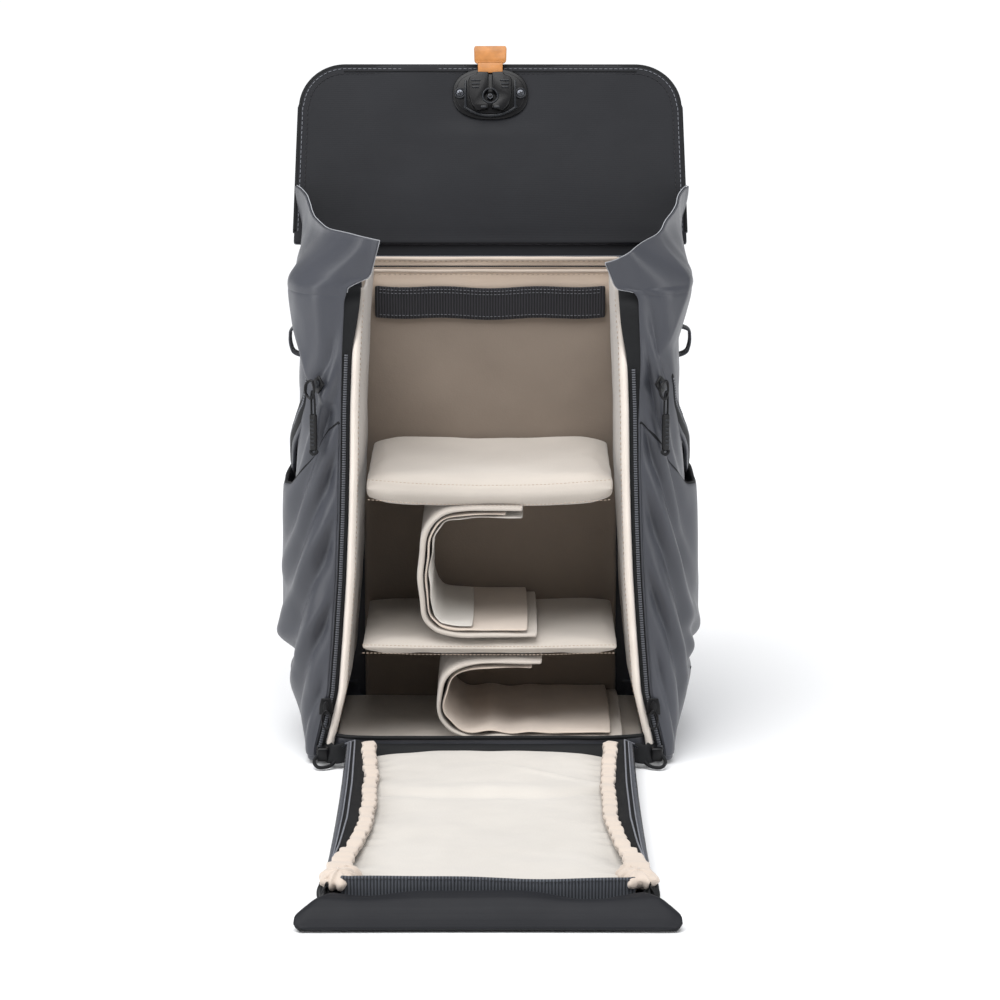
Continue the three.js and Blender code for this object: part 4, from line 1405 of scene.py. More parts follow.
def gathered(name, centre, size, pleats, seed, paint):
    """Bunched cloth: a flattened lump with pleats running out from one point."""
    rings, around = 14, 72
    verts, faces = [], []
    for i in range(rings + 1):
        polar = math.pi * i / rings
        for k in range(around):
            a = 2 * math.pi * k / around
            wobble = 0.16 * math.sin(pleats * a + 1.5 * math.sin(3 * a + seed)) * math.sin(polar)
            wobble += 0.22 * noise.noise(Vector((math.cos(a) * 1.6, math.sin(a) * 1.6, polar + seed)))
            r = 1 + wobble
            x = math.sin(polar) * math.cos(a) * size.x * r
            y = math.sin(polar) * math.sin(a) * size.y * r
            z = math.cos(polar) * size.z * (1 + wobble * 0.8)
            verts.append(centre + Vector((x, y, z)))
    for i in range(rings):
        for k in range(around):
            a, b = i * around + k, i * around + (k + 1) % around
            faces.append((a, a + around, b + around, b))
    return finish_mesh(name, verts, faces, paint, "front_panel")


def make_knot(name, side):
    """The binding's gathered end at the panel's near corner, over a dark fold."""
    knot = gathered(
        f"corner_gather_{name}", mm(side * 108, -462, 24), mm(13, 15, 6.5), 9, 1 + side, CREAM_EDGE)
    second = gathered(
        f"corner_gather_low_{name}", mm(side * 103, -446, 22), mm(10, 12, 6), 7, 3 + side, CREAM_EDGE)
    dark = gathered(
        f"corner_fold_{name}", mm(side * 117, -463, 14), mm(6, 17, 10), 6, 5 + side, TAPE_CLOTH)
    for piece in (knot, second, dark):
        modified(piece, "SUBSURF", levels=1, render_levels=1)


def make_panel_web():
    """Ribbed webbing along the panel's near edge."""
    lo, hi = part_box("panel_webbing")

    def at(u, v):
        x = lo.x + (hi.x - lo.x) * u
        wave = 1.4 * MM * math.sin(u * 7.5) + 1.0 * MM * math.sin(u * 15 + 1)
        y = lo.y + 3 * MM + wave + (1 - v) * 1.5 * MM + 2 * MM * smooth(0.94, 1.0, abs(2 * u - 1))
        z = lo.z + (hi.z - lo.z) * v + 1.2 * MM * math.sin(u * 5 + 0.6) * (v - 0.3)
        return Vector((x, y, z))

    web = sheet_mesh("panel_strap_web", at, 90, 8, RIB_FRONT, "front_panel", 1.8 * MM)
    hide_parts("panel_webbing")
    for label, share in (("top", 0.9), ("foot", 0.1)):
        row = [at(u, share) + Vector((0, -0.4 * MM, 0)) for u in np.linspace(0.01, 0.99, 90)]
        name = f"panel_strap_stitch_{label}"
        sewn = stitches(name, row, THREAD_DARK, "front_panel", 3.6 * MM, 2.2 * MM, 0.3 * MM)


# the tongue's half width and its height, by distance from its fold towards the viewer
TONGUE_RUN = 25.4 * MM
tongue_half = table([(0.0, 119 * MM), (8 * MM, 129 * MM), (17 * MM, 137 * MM), (22 * MM, 137.5 * MM),
                     (TONGUE_RUN, 133 * MM)])
tongue_rise = table([(0.0, 21 * MM), (3 * MM, 20.5 * MM), (9 * MM, 18.5 * MM), (16 * MM, 13.5 * MM),
                     (21 * MM, 8 * MM), (24.5 * MM, 3 * MM), (TONGUE_RUN, 1.6 * MM)])


def make_tongue():
    """The stiff flap end beyond the panel: a soft hood with a rolled near edge."""

    def at(u, v):
        run = TONGUE_RUN * v
        x = (2 * u - 1) * tongue_half(run)
        hollow = 7 * MM * bump(x, 72 * MM, 30 * MM) + 4 * MM * bump(x, -88 * MM, 24 * MM)
        top = tongue_rise(run) - hollow * (1 - smooth(0.0, 0.5, v))
        corner = smooth(0.93, 1.0, abs(2 * u - 1))
        z = top * (1 - 0.35 * corner) + 1.2 * MM * noise.noise(Vector((x * 18, run * 30, 3))) * (1 - v)
        bow = 1.0 * MM * (1 - (2 * u - 1) ** 2) * v
        return Vector((x, TONGUE[1].y - 1 * MM + bow - run * 0.985, max(z, 1.6 * MM)))

    hood = sheet_mesh("tongue_cloth", at, 90, 22, FLAP_CLOTH, "tongue", 2.2 * MM)
    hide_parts("front_tongue")
    rim = [at(u, 0.985) + Vector((0, 0.4 * MM, 0.4 * MM)) for u in np.linspace(0.004, 0.996, 100)]
    end = lambda u: [at(u, v) + Vector((0, 0, 0.5 * MM)) for v in np.linspace(0.05, 0.985, 14)]
    line = end(0.004) + rim[1:] + end(0.996)[::-1]
    tube_mesh("tongue_rim", line, 1.5 * MM, TAPE_CLOTH, "tongue", 8)
    row = [at(u, 0.72) + Vector((0, -0.2 * MM, 0.5 * MM)) for u in np.linspace(0.02, 0.98, 110)]
    sewn = stitches("tongue_stitch", row, THREAD_DARK, "tongue", 4 * MM, 2.8 * MM, 0.35 * MM)


def make_panel_hinges():
    """Cloth that joins base to panel, and panel to tongue."""
    def near_at(u, v):
        x = (2 * u - 1) * (117 * MM + 3 * MM * v)
        y = PANEL_NEAR + 12 * MM + (TONGUE[1].y - 3 * MM - PANEL_NEAR - 12 * MM) * v
        return Vector((x, y, 8 * MM + 8.5 * MM * smooth(0, 1, v)))

    near = sheet_mesh("tongue_hinge_cloth", near_at, 50, 10, TAPE_CLOTH, None, 1.4 * MM, flip=True)
    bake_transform(near)

    def far_at(u, v):
        x = (2 * u - 1) * 117 * MM
        y = PANEL_FAR - 12 * MM + (BASE[0].y + 3 * MM - PANEL_FAR + 12 * MM) * v
        z = 6 * MM + 12 * MM * smooth(0.0, 0.8, v)
        return Vector((x, y, z + 0.8 * MM * noise.noise(Vector((x * 30, 0, v)))))

    far = sheet_mesh("panel_hinge_cloth", far_at, 50, 14, TAPE_CLOTH, None, 1.6 * MM, flip=True)
    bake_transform(far)


def make_receiver():
    lo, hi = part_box("latch_receiver")
    cy = (lo.y + hi.y) / 2
    place = lambda a, b, h: Vector((a, cy + b, h))
    low, high = lo.z + 0.2 * MM, hi.z - 0.2 * MM
    outline = oval(hi.x, (hi.y - lo.y) / 2, 48, power=2.6)
    plate = prism("receiver_plate", outline, place, low, high, PLASTIC, None, 0.7 * MM)
    hole = oval(6.5 * MM, 9 * MM, 24)
    eye = prism("receiver_eye", hole, place, lo.z + 0.05 * MM, lo.z + 0.6 * MM, STEEL, None, 0.2 * MM)
    made = merged("receiver", [plate, eye], "front_panel")
    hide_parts("latch_receiver")


def make_front_panel():
    make_panel_outer()
    make_panel_lining()
    make_panel_web()
    make_tongue()
    make_panel_hinges()
    make_receiver()
    for name, side in SIDES:
        make_gusset(name, side)
        make_binding(name, side)
        make_knot(name, side)


# ------------------------------------------------------------------ top flap
FLAP_TOP = 167 * MM
FLAP_LOW = 3 * MM
FLAP_CORNER = 40 * MM
LATCH_UP = 139 * MM
STUD_UP = 135 * MM


def flap_side(up):
    """The flap's half width where its corners are not yet rounded."""
    return 171 * MM - 4 * MM * up / FLAP_TOP


def flap_half(up):
    half = flap_side(up)
    over = up - (FLAP_TOP - FLAP_CORNER)
    if over <= 0:
        return half
    return half - FLAP_CORNER + math.sqrt(max(0.0, FLAP_CORNER ** 2 - min(over, FLAP_CORNER) ** 2))


def flap_wave(x, up):
    ripple = noise.noise(Vector((x * 9, up * 12, 6))) * 1.3 * MM
    bow = -2.2 * MM * math.sin(math.pi * min(1, up / FLAP_TOP)) * (1 - (x / (170 * MM)) ** 2)
    flat = 1 - bump(x, 0, 42 * MM) * smooth(100 * MM, 118 * MM, up)
    return (ripple + bow) * flat * smooth(0, 20 * MM, up)


def flap_outline(inset):
    """The flap's free edge from the left foot round the top to the right foot, moved inwards."""
    line = []
    top = FLAP_TOP - inset
    corner = FLAP_CORNER - inset
    for up in np.linspace(14 * MM, FLAP_TOP - FLAP_CORNER, 40):
        line.append((-(flap_side(up) - inset), up))
    centre = flap_side(FLAP_TOP) - inset - corner
    for a in np.linspace(0, math.pi / 2, 22)[1:]:
        line.append((-(centre + corner * math.cos(a)), top - corner + corner * math.sin(a)))
    right = [(-x, up) for x, up in reversed(line)]
    return line + right


def make_flap():
    """The flap's two cloths, its bound edge and its stitching."""

    def face(lift):
        def at(u, v):
            up = FLAP_LOW + (FLAP_TOP - FLAP_LOW) * v
            x = (2 * u - 1) * (flap_half(up) - 0.6 * MM)
            return on_flap(x, lift + flap_wave(x, up), up)
        return at

    inner = sheet_mesh("flap_inner_cloth", face(-3.0 * MM), 70, 60, FLAP_CLOTH, "top_flap", 2.2 * MM)
    outer = sheet_mesh(
        "flap_outer_cloth", face(2.6 * MM), 70, 60, SHELL_CLOTH, "top_flap", 3.2 * MM, flip=True)
    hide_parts("flap_inner", "flap_board")
    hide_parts("flap_outer")

    def along_edge(inset, lift):
        return [on_flap(x, lift + flap_wave(x, up), up) for x, up in flap_outline(inset)]

    rim = along_edge(1.2 * MM, -0.4 * MM)
    section = (1.6 * MM, 2.8 * MM)
    binding = tube_mesh(
        "flap_edge_binding", rim, 0, TAPE_CLOTH, "top_flap", 12, flat=section, up=FLAP_OUT)
    rows = (("stitch_edge", 4.2, -3.3, THREAD), ("stitch_inner", 8.6, -3.3, THREAD_DARK),
            ("back_stitch_front", 3.6, 2.9, THREAD_DARK))
    for label, inset, lift, paint in rows:
        row = along_edge(inset * MM, lift * MM)
        sewn = stitches(f"flap_{label}", row, paint, "top_flap", 4.2 * MM, 2.8 * MM, 0.32 * MM)
    up = FLAP_TOP - 6.6 * MM
    fold = [on_flap(x, -3.2 * MM + flap_wave(x, up), up) for x in np.linspace(-128 * MM, 128 * MM, 60)]
    for label, part in (("left", fold[:26]), ("right", fold[34:])):
        crest = tube_mesh(f"flap_top_fold_{label}", part, 0.6 * MM, TAPE_CLOTH, "top_flap", 6)


def make_flap_hinge():
    """Cloth from the back wall's top edge to the flap's foot."""
    def at(u, v):
        low = Vector((0, LINING[1].y + 2 * MM, RIM_Z - 8 * MM))
        mid = HINGE + Vector((0, 1 * MM, -2 * MM))
        top = HINGE + FLAP_UP * 16 * MM - FLAP_OUT * 1.2 * MM
        a, b = (low, mid) if v < 0.5 else (mid, top)
        p = a.lerp(b, (v * 2) % 1.0 if v < 1.0 else 1.0)
        half = 146 * MM + 22 * MM * smooth(0.1, 0.8, v)
        return Vector(((2 * u - 1) * half, p.y, p.z))

    hinge = sheet_mesh("flap_hinge_cloth", at, 60, 12, FLAP_CLOTH, None, 2.0 * MM)
    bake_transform(hinge)


def flap_place(shift_up):
    """Places outlines on the flap's inner face: across, up the flap, and out towards the front."""
    return lambda a, b, h: on_flap(a, -h, b + shift_up)


def make_latch_base():
    """The latch's oval housing with two rails and a raised lip below the sliding block."""
    place = flap_place(LATCH_UP)
    outline = oval(33 * MM, 23.5 * MM, 64, power=2.4)
    rim = prism("latch_rim", outline, place, 3.2 * MM, 5.4 * MM, PLASTIC, None, 0.9 * MM)
    outline = oval(30 * MM, 20.5 * MM, 64, power=2.4)
    dish = prism("latch_dish", outline, place, 5.0 * MM, 6.2 * MM, PLASTIC, None, 0.7 * MM)
    rails = []
    for sign in (-1, 1):
        x = sign * 21.6 * MM
        outline = round_rect(x - 1 * MM, x + 1 * MM, -13 * MM, 12 * MM, 0.9 * MM)
        rails.append(prism("rail", outline, place, 5.8 * MM, 8.2 * MM, PLASTIC_LIGHT, None, 0.4 * MM))
    lip = []
    for a in np.linspace(math.radians(215), math.radians(325), 30):
        lip.append(place(28 * MM * math.cos(a), 20.6 * MM * math.sin(a), 6.6 * MM))
    crescent = tube_mesh("latch_lip", lip, 1.3 * MM, PLASTIC_LIGHT, None, 10)
    made = merged("latch_housing", [rim, dish, crescent] + rails, "top_flap")
    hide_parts("latch_base")


def make_latch_screw(name):
    """A cross-headed screw in a raised cup."""
    lo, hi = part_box(f"latch_screw_{name}")
    centre = (hi.x + lo.x) / 2
    place = lambda a, b, h: on_flap(centre + a, -h, LATCH_UP + b)
    ring = circle(place, 4.3 * MM, 6.7 * MM, 28)
    cup = tube_mesh("cup", ring, 0.9 * MM, PLASTIC_LIGHT, None, 8, cyclic=True)
    head = prism("head", oval(3.3 * MM, 3.3 * MM, 24), place, 6.0 * MM, 7.6 * MM, STEEL, None, 0.6 * MM)
    bars = []
    bar = ((-2 * MM, -0.3 * MM), (2 * MM, -0.3 * MM), (2 * MM, 0.3 * MM), (-2 * MM, 0.3 * MM))
    for k in range(2):
        turn = math.radians(20 + 90 * k)
        c, s = math.cos(turn), math.sin(turn)
        outline = [(a * c - b * s, a * s + b * c) for a, b in bar]
        bars.append(prism("bar", outline, place, 7.3 * MM, 7.7 * MM, PLASTIC, None, 0))
    made = merged(f"latch_screw_head_{name}", [cup, head] + bars, "top_flap")
    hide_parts(f"latch_screw_{name}")


def make_latch_stud():
    """The round post that the sliding block's eye closes on."""
    place = flap_place(STUD_UP)
    outline = oval(2.7 * MM, 2.7 * MM, 28)
    post = prism("stud_post", outline, place, 5.6 * MM, 10.2 * MM, PLASTIC, None, 0.8 * MM)
    line = circle(place, 2.0 * MM, 10.0 * MM, 28)
    ring = tube_mesh("stud_ring", line, 0.4 * MM, STEEL, None, 6, cyclic=True)
    made = merged("latch_stud_post", [post, ring], "top_flap")
    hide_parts("latch_stud")


def cheek_outline(side):
    """One half of the sliding block: square shoulders, a tapered foot and a bite for the eye."""
    eye_drop = STUD_UP - LATCH_UP
    angles = np.linspace(math.radians(-76), math.radians(76), 14)
    bite = [(6.9 * MM * math.cos(t), 6.9 * MM * math.sin(t) + eye_drop) for t in angles]
    points = [(1.5 * MM, -15 * MM)] + bite + [(1.5 * MM, 18 * MM)]
    outer = ((11, 18.5), (12.5, 16), (18, 13.5), (19.2, 10), (18.4, -4), (16, -12), (11, -17.5))
    points += [(x * MM, y * MM) for x, y in outer]
    return [(side * x, y) for x, y in points][::side]


def make_latch_slider():
    """The sliding block: a thin deck, two ribbed cheeks and a rounded eye for the stud."""
    place = flap_place(LATCH_UP)
    parts = []
    outline = oval(18.8 * MM, 18.6 * MM, 48, power=3.2)
    deck = prism("slider_deck", outline, place, 6.6 * MM, 7.4 * MM, PLASTIC, None, 0.3 * MM)
    for _, side in SIDES:
        outline = cheek_outline(side)
        parts.append(prism("cheek", outline, place, 7.0 * MM, 11.6 * MM, PLASTIC, None, 0.9 * MM, 3))
        for k in range(3):
            b = (9.5 - 3.2 * k) * MM
            x0, x1 = sorted((side * (8.6 + 0.6 * k) * MM, side * (16.8 - 0.4 * k) * MM))
            outline = round_rect(x0, x1, b, b + 1.3 * MM, 0.6 * MM, 3)
            parts.append(prism("rib", outline, place, 11.2 * MM, 12.3 * MM, PLASTIC_LIGHT, None, 0.35 * MM))
        x0, x1 = sorted((side * 3.0 * MM, side * 8.4 * MM))
        outline = round_rect(x0, x1, -15.6 * MM, -13.2 * MM, 0.9 * MM, 3)
        parts.append(prism("foot", outline, place, 11.2 * MM, 12.4 * MM, PLASTIC_LIGHT, None, 0.4 * MM))
    eye = circle(place, 6.6 * MM, 11.4 * MM, 40, STUD_UP - LATCH_UP)
    ring = tube_mesh("slider_eye", eye, 0.9 * MM, PLASTIC_LIGHT, None, 8, cyclic=True)
    made = merged("latch_block", [deck, ring] + parts, "latch_release")
    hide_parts("latch_slider")


def make_leather_tab():
    """A folded leather pull: wide at its top, narrower where it enters the latch."""
    lo_up, hi_up = 157 * MM, 182.6 * MM
    half = table([(0, 10.8 * MM), (0.36, 11 * MM), (0.42, 14 * MM), (0.92, 14.4 * MM), (1, 13.4 * MM)])

    def at(u, v):
        up = lo_up + (hi_up - lo_up) * v
        x = (2 * u - 1) * half(v)
        curl = 1.2 * MM * smooth(0.8, 1.0, v) + 0.7 * MM * bump(v, 0.42, 0.05)
        wave = 0.5 * MM * noise.noise(Vector((x * 60, v * 3, 2)))
        return on_flap(x, -8.8 * MM + curl + wave, up)

    tab = sheet_mesh("leather_pull", at, 20, 34, LEATHER, "latch_release", 1.8 * MM)
    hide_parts("leather_tab")
    crease_line = [at(u, 0.4) + (-FLAP_OUT) * 0.3 * MM for u in np.linspace(0.08, 0.92, 20)]
    tube_mesh("leather_crease", crease_line, 0.5 * MM, LEATHER, "latch_release", 6)


def make_top():
    make_flap()
    make_flap_hinge()
    make_latch_base()
    for name, _ in SIDES:
        make_latch_screw(name)
    make_latch_stud()
    make_latch_slider()
    make_leather_tab()


# ------------------------------------------------------------------ carrying side
def pillow(name, lo, hi, power, crown, ribs):
    """A foam pad on the back: rounded outline, domed face and cross channels that deep."""
    rings, around = 26, 110
    cx, cz = (lo.x + hi.x) / 2, (lo.z + hi.z) / 2
    a0, b0 = (hi.x - lo.x) / 2, (hi.z - lo.z) / 2
    thick = hi.y - lo.y
    verts, faces = [], []

    def outline(angle, r):
        c, s = math.cos(angle), math.sin(angle)
        return cx + squared(c, 2 / power) * a0 * r, cz + squared(s, 2 / power) * b0 * r

    for i in range(rings + 1):
        r = max(i, 0.02) / rings
        for k in range(around):
            x, z = outline(2 * math.pi * k / around, r)
            dome = (1 - r ** crown) ** 0.45
            groove = ribs * math.exp(-((((z - lo.z) / (38 * MM)) % 1.0 - 0.5) / 0.12) ** 2) * (1 - r ** 6)
            y = lo.y + 0.5 * MM + (thick - 1 * MM) * dome - groove
            y += 0.5 * MM * noise.noise(Vector((x * 40, z * 40, 6))) * (1 - r ** 4)
            verts.append(Vector((x, y, z)))
    for i in range(rings):
        for k in range(around):
            a, b = i * around + k, i * around + (k + 1) % around
            faces.append((a, b, b + around, a + around))
    base = len(verts)
    for k in range(around):
        x, z = outline(2 * math.pi * k / around, 1.0)
        verts.append(Vector((x, lo.y - 1.2 * MM, z)))
    for k in range(around):
        a, b = rings * around + k, rings * around + (k + 1) % around
        faces.append((a, b, base + (k + 1) % around, base + k))
    faces.append(tuple(base + k for k in range(around)))
    faces.append(tuple(reversed(range(around))))
    pad = finish_mesh(name, verts, faces, AIR_MESH, "case")
    edge = [outline(2 * math.pi * k / around, 1.0) for k in range(around)]
    line = [Vector((x, lo.y + 1.0 * MM, z)) for x, z in edge]
    tube_mesh(f"{name}_piping", line, 1.6 * MM, TAPE_CLOTH, "case", 8, cyclic=True)
    return pad


def make_back():
    """The back's cloth, its corner piping, two back pads and the lumbar pad."""
    foot = BACK[0].z

    def at(u, v):
        x = (2 * u - 1) * 152.5 * MM
        z = foot + (RIM_Z + 4 * MM - foot) * v
        rumple = noise.noise(Vector((x * 8, z * 8, 12))) * 1.4 * MM * (1 - smooth(0.9, 1, abs(2 * u - 1)))
        return Vector((x, BACK_Y + 0.6 * MM + rumple, z))

    back = sheet_mesh("back_cloth", at, 50, 64, SHELL_CLOTH, "case", 3.4 * MM, flip=True)
    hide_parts("back_shell")
    for name, side in SIDES:
        line = [Vector((side * 152.2 * MM, BACK_Y - 0.2 * MM, z)) for z in np.linspace(12 * MM, RIM_Z, 60)]
        tube_mesh(f"back_piping_{name}", line, 2.0 * MM, TAPE_CLOTH, "case", 8)
        pad = pillow(f"back_cushion_{name}", *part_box(f"back_pad_{name}"), 5.0, 9, 2.6 * MM)
        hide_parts(f"back_pad_{name}")
    lumbar = pillow("lumbar_cushion", *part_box("lumbar_pad"), 4.2, 7, 1.6 * MM)
    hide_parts("lumbar_pad")


# the shoulder strap's line from the top of the back down to its buckle, in millimetres
STRAP_PATH = ((52, 92, 376), (54, 113, 367), (60, 133.5, 330), (74, 139.5, 260), (84, 133.5, 190),
              (86, 122, 139))
STRAP_HALF = table([(0, 20 * MM), (0.25, 29.5 * MM), (0.6, 27 * MM), (1, 17 * MM)])


def strap_frame(side, f):
    """Centre, across and outward directions of the shoulder strap at share f of its length."""
    points = curve_points([mm(x * side, y, z) for x, y, z in STRAP_PATH], 60)
    k = min(int(f * (len(points) - 1)), len(points) - 2)
    p = points[k].lerp(points[k + 1], f * (len(points) - 1) - k)
    along = (points[k + 1] - points[k]).normalized()
    across = Vector((1, 0, 0)) - along * along.x
    across.normalize()
    return p, across, across.cross(along).normalized()


def make_shoulder_strap(name, side):
    """The padded strap with bound edges and a sewn webbing band down its outer face."""
    verts = []
    steps, ring = 60, 28
    for i in range(steps + 1):
        f = i / steps
        p, across, out = strap_frame(side, f)
        half = STRAP_HALF(f)
        for k in range(ring):
            a = 2 * math.pi * k / ring
            c = squared(math.cos(a), 0.5) * half
            s = squared(math.sin(a), 0.8) * 5.2 * MM
            s *= 1 - 0.35 * abs(c / half) ** 3
            verts.append(p + across * c + out * s)
    strap = lofted(f"strap_body_{name}", verts, ring, AIR_MESH, "case")
    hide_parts(f"shoulder_strap_{name}")
    for edge in (-1, 1):
        line = []
        for f in np.linspace(0.0, 1.0, 70):
            p, across, out = strap_frame(side, f)
            line.append(p + across * edge * (STRAP_HALF(f) - 0.8 * MM))
        binding = tube_mesh(f"strap_binding_{name}_{edge}", line, 2.4 * MM, TAPE_CLOTH, "case", 9)
    centre, ups = [], []
    for f in np.linspace(0.06, 0.99, 60):
        p, across, out = strap_frame(side, f)
        outward = out if out.y > 0 else -out
        centre.append(p + outward * 5.3 * MM)
        ups.append(outward)
    band = tube_mesh(f"strap_band_{name}", centre, 0, RIB_Z, "case", 12, flat=(11 * MM, 1.0 * MM), up=ups)
    for edge in (-1, 1):
        row = [c + Vector((edge * 9 * MM, 1.1 * MM, 0)) for c in centre]
        sewn = stitches(f"strap_stitch_{name}_{edge}", row, THREAD, "case", 4 * MM, 2.6 * MM, 0.3 * MM)


def make_strap_tail(name, side):
    """The ladder buckle below the strap, its webbing tail and the patch that holds the tail."""
    lo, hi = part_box(f"strap_buckle_{name}")
    cx = (lo.x + hi.x) / 2
    cz = (lo.z + hi.z) / 2
    cy = (lo.y + hi.y) / 2
    wide, high = (hi.x - lo.x) / 2 - 2.4 * MM, (hi.z - lo.z) / 2 - 2.4 * MM
    outline = round_rect(-wide, wide, -high, high, 3 * MM, 4)
    rect = [Vector((cx + a, cy - 1.5 * MM, cz + b)) for a, b in outline]
    parts = [tube_mesh("frame", rect, 2.3 * MM, PLASTIC, None, 10, cyclic=True)]
    for drop, lift in ((0, 1.6 * MM), (-high, 2.4 * MM), (high, 0)):
        bar = [Vector((cx + x, cy - 1.0 * MM + lift, cz + drop)) for x in np.linspace(-wide, wide, 8)]
        parts.append(tube_mesh("bar", bar, 1.9 * MM, PLASTIC, None, 10))
    buckle = merged(f"ladder_buckle_{name}", parts, "case")
    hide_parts(f"strap_buckle_{name}")

    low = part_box(f"strap_webbing_{name}")[0].z
    route = [(86, 121, cz + 5 * MM), (86, 117.5, 109 * MM), (90, 110, 70 * MM)]
    route += [(94.5, 104, low + 3 * MM), (95, 88, low - 1 * MM)]
    line = curve_points([Vector((side * x * MM, y * MM, z)) for x, y, z in route], 48)
    section = (12 * MM, 0.9 * MM)
    tail = tube_mesh(f"strap_tail_{name}", line, 0, RIB_Z, "case", 12, flat=section, up=(0, 1, 0.3))
    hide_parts(f"strap_webbing_{name}")
    x = side * 95 * MM
    near = Vector((x - 15 * MM, BACK_Y, low - 9 * MM))
    far = Vector((x + 15 * MM, BACK_Y + 4 * MM, low + 9 * MM))
    keeper = rounded_box(f"strap_keeper_{name}", near, far, 1.6 * MM, TAPE_CLOTH, "case")


def make_sternum():
    """The chest strap between the shoulder straps, with a two-part clip in its middle."""
    lo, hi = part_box("sternum_strap")
    cz = (lo.z + hi.z) / 2
    half = (hi.z - lo.z) / 2
    rise = table([(0, hi.y - 1.2 * MM), (40 * MM, hi.y - 2.2 * MM), (58 * MM, lo.y + 1 * MM)])
    line = [Vector((x, rise(abs(x)), cz)) for x in np.linspace(lo.x + 1 * MM, hi.x - 1 * MM, 40)]
    section = (half - 0.5 * MM, 1.0 * MM)
    strap = tube_mesh("chest_strap", line, 0, RIB_X, "case", 12, flat=section, up=(0, 1, 0))
    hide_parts("sternum_strap")
    low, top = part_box("sternum_buckle")
    place = lambda a, b, h: Vector((a, low.y + h, (low.z + top.z) / 2 + b))
    parts = []
    deep = top.y - low.y
    for sign in (-1, 1):
        x0, x1 = sorted((sign * 1.0 * MM, sign * 18.5 * MM))
        outline = round_rect(x0, x1, -13.5 * MM, 13.5 * MM, 4.5 * MM)
        parts.append(prism("clip", outline, place, 0.4 * MM, deep - 1.2 * MM, PLASTIC, None, 1.2 * MM, 3))
        x0, x1 = sorted((sign * 5 * MM, sign * 7 * MM))
        outline = round_rect(x0, x1, -9 * MM, 9 * MM, 0.9 * MM, 3)
        low_face, high_face = deep - 1.6 * MM, deep - 0.4 * MM
        parts.append(prism("groove", outline, place, low_face, high_face, PLASTIC_LIGHT, None, 0.4 * MM))
    outline = round_rect(-4 * MM, 4 * MM, -7 * MM, 7 * MM, 2.5 * MM)
    parts.append(prism("tongue", outline, place, 1 * MM, deep - 2 * MM, PLASTIC, None, 0.8 * MM))
    buckle = merged("chest_buckle", parts, "case")
    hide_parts("sternum_buckle")


def make_handle():
    """The webbing handle behind the rim, narrower in its middle."""
    lo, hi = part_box("top_handle")
    cz = (lo.z + hi.z) / 2
    left = [(-44, 83), (-44.5, 94), (-38, 107), (-20, 113.5)]
    route = left + [(0, 114.6)] + [(-x, y) for x, y in reversed(left)]
    line = curve_points([Vector((x * MM, y * MM, cz)) for x, y in route], 80)
    ups = []
    for i in range(len(line)):
        along = direction_at(line, i)
        ups.append(Vector((-along.y, along.x, 0)))
    width = lambda f: 8.5 * MM - 1.5 * MM * math.sin(math.pi * f)
    handle = tube_mesh("carry_handle", line, 0, TAPE_CLOTH, "case", 16, flat=(width, 2.3 * MM), up=ups)
    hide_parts("top_handle")
    for edge in (-1, 1):
        shift = Vector((0, 0, edge * 5.6 * MM))
        row = [p + up * 2.5 * MM + shift for p, up in zip(line[10:-10], ups[10:-10])]
        sewn = stitches(f"handle_stitch_{edge}", row, THREAD, "case", 4 * MM, 2.6 * MM, 0.3 * MM)


def make_rear():
    make_back()
    for name, side in SIDES:
        make_shoulder_strap(name, side)
        make_strap_tail(name, side)
    make_sternum()
    make_handle()


# ------------------------------------------------------------------ side zips, loops and corners
# the side zip's line: share round the side, then height in millimetres
SIDE_ZIP_PATH = ((0.235, 328), (0.30, 304), (0.40, 284), (0.52, 262), (0.62, 240), (0.70, 228))


def side_zip_point(side, f, lift, shift=0.0):
    """Along the side zip, which puckers outwards as it runs back; shift moves across it."""
    k = min(max(int(f * 5), 0), 4)
    (t0, z0), (t1, z1) = SIDE_ZIP_PATH[k], SIDE_ZIP_PATH[k + 1]
    g = f * 5 - k
    proud = (1.2 + 6.3 * smooth(0.2, 0.62, f) - 2.0 * smooth(0.8, 1.0, f)) * MM
    t = t0 + (t1 - t0) * g + shift * 2.0
    z = (z0 + (z1 - z0) * g) * MM + shift * 0.75
    return wall_point(side, t, z, lift + proud)


def make_side_zip(name, side):
    """The side access zip: its tape, its coil, a welt along each edge and a row of stitching."""
    fold = lambda u: -3.5 * MM * abs(2 * u - 1) ** 3
    width = lambda v: (5 + 15 * smooth(-0.05, 0.28, v)) * MM
    tape_at = lambda u, v: side_zip_point(side, v, fold(u), (u - 0.5) * width(v))
    tape = sheet_mesh(f"side_zip_tape_{name}", tape_at, 10, 44, TAPE_CLOTH, "case", 1.2 * MM, flip=side < 0)
    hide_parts(f"side_zip_{name}")
    line = [side_zip_point(side, f, 0.4 * MM) for f in np.linspace(0.03, 0.98, 60)]
    coil = zip_teeth(
        f"side_zip_coil_{name}", line, (side, 0, 0), ZIP_TEETH, "case", 2.6 * MM, 2.0 * MM, 1.2 * MM)
    shares = np.linspace(-0.02, 1.02, 50)
    for label, shift in (("upper", 9.6 * MM), ("lower", -9.6 * MM)):
        line = [side_zip_point(side, f, -2.6 * MM, shift * width(f) / (20 * MM)) for f in shares]
        welt = tube_mesh(f"side_zip_welt_{label}_{name}", line, 2.1 * MM, SHELL_CLOTH, "case", 8)
    row = [side_zip_point(side, f, -1.6 * MM, 13.5 * MM) for f in np.linspace(0, 0.5, 40)]
    stitches(f"side_zip_stitch_{name}", row, THREAD_DARK, "case")


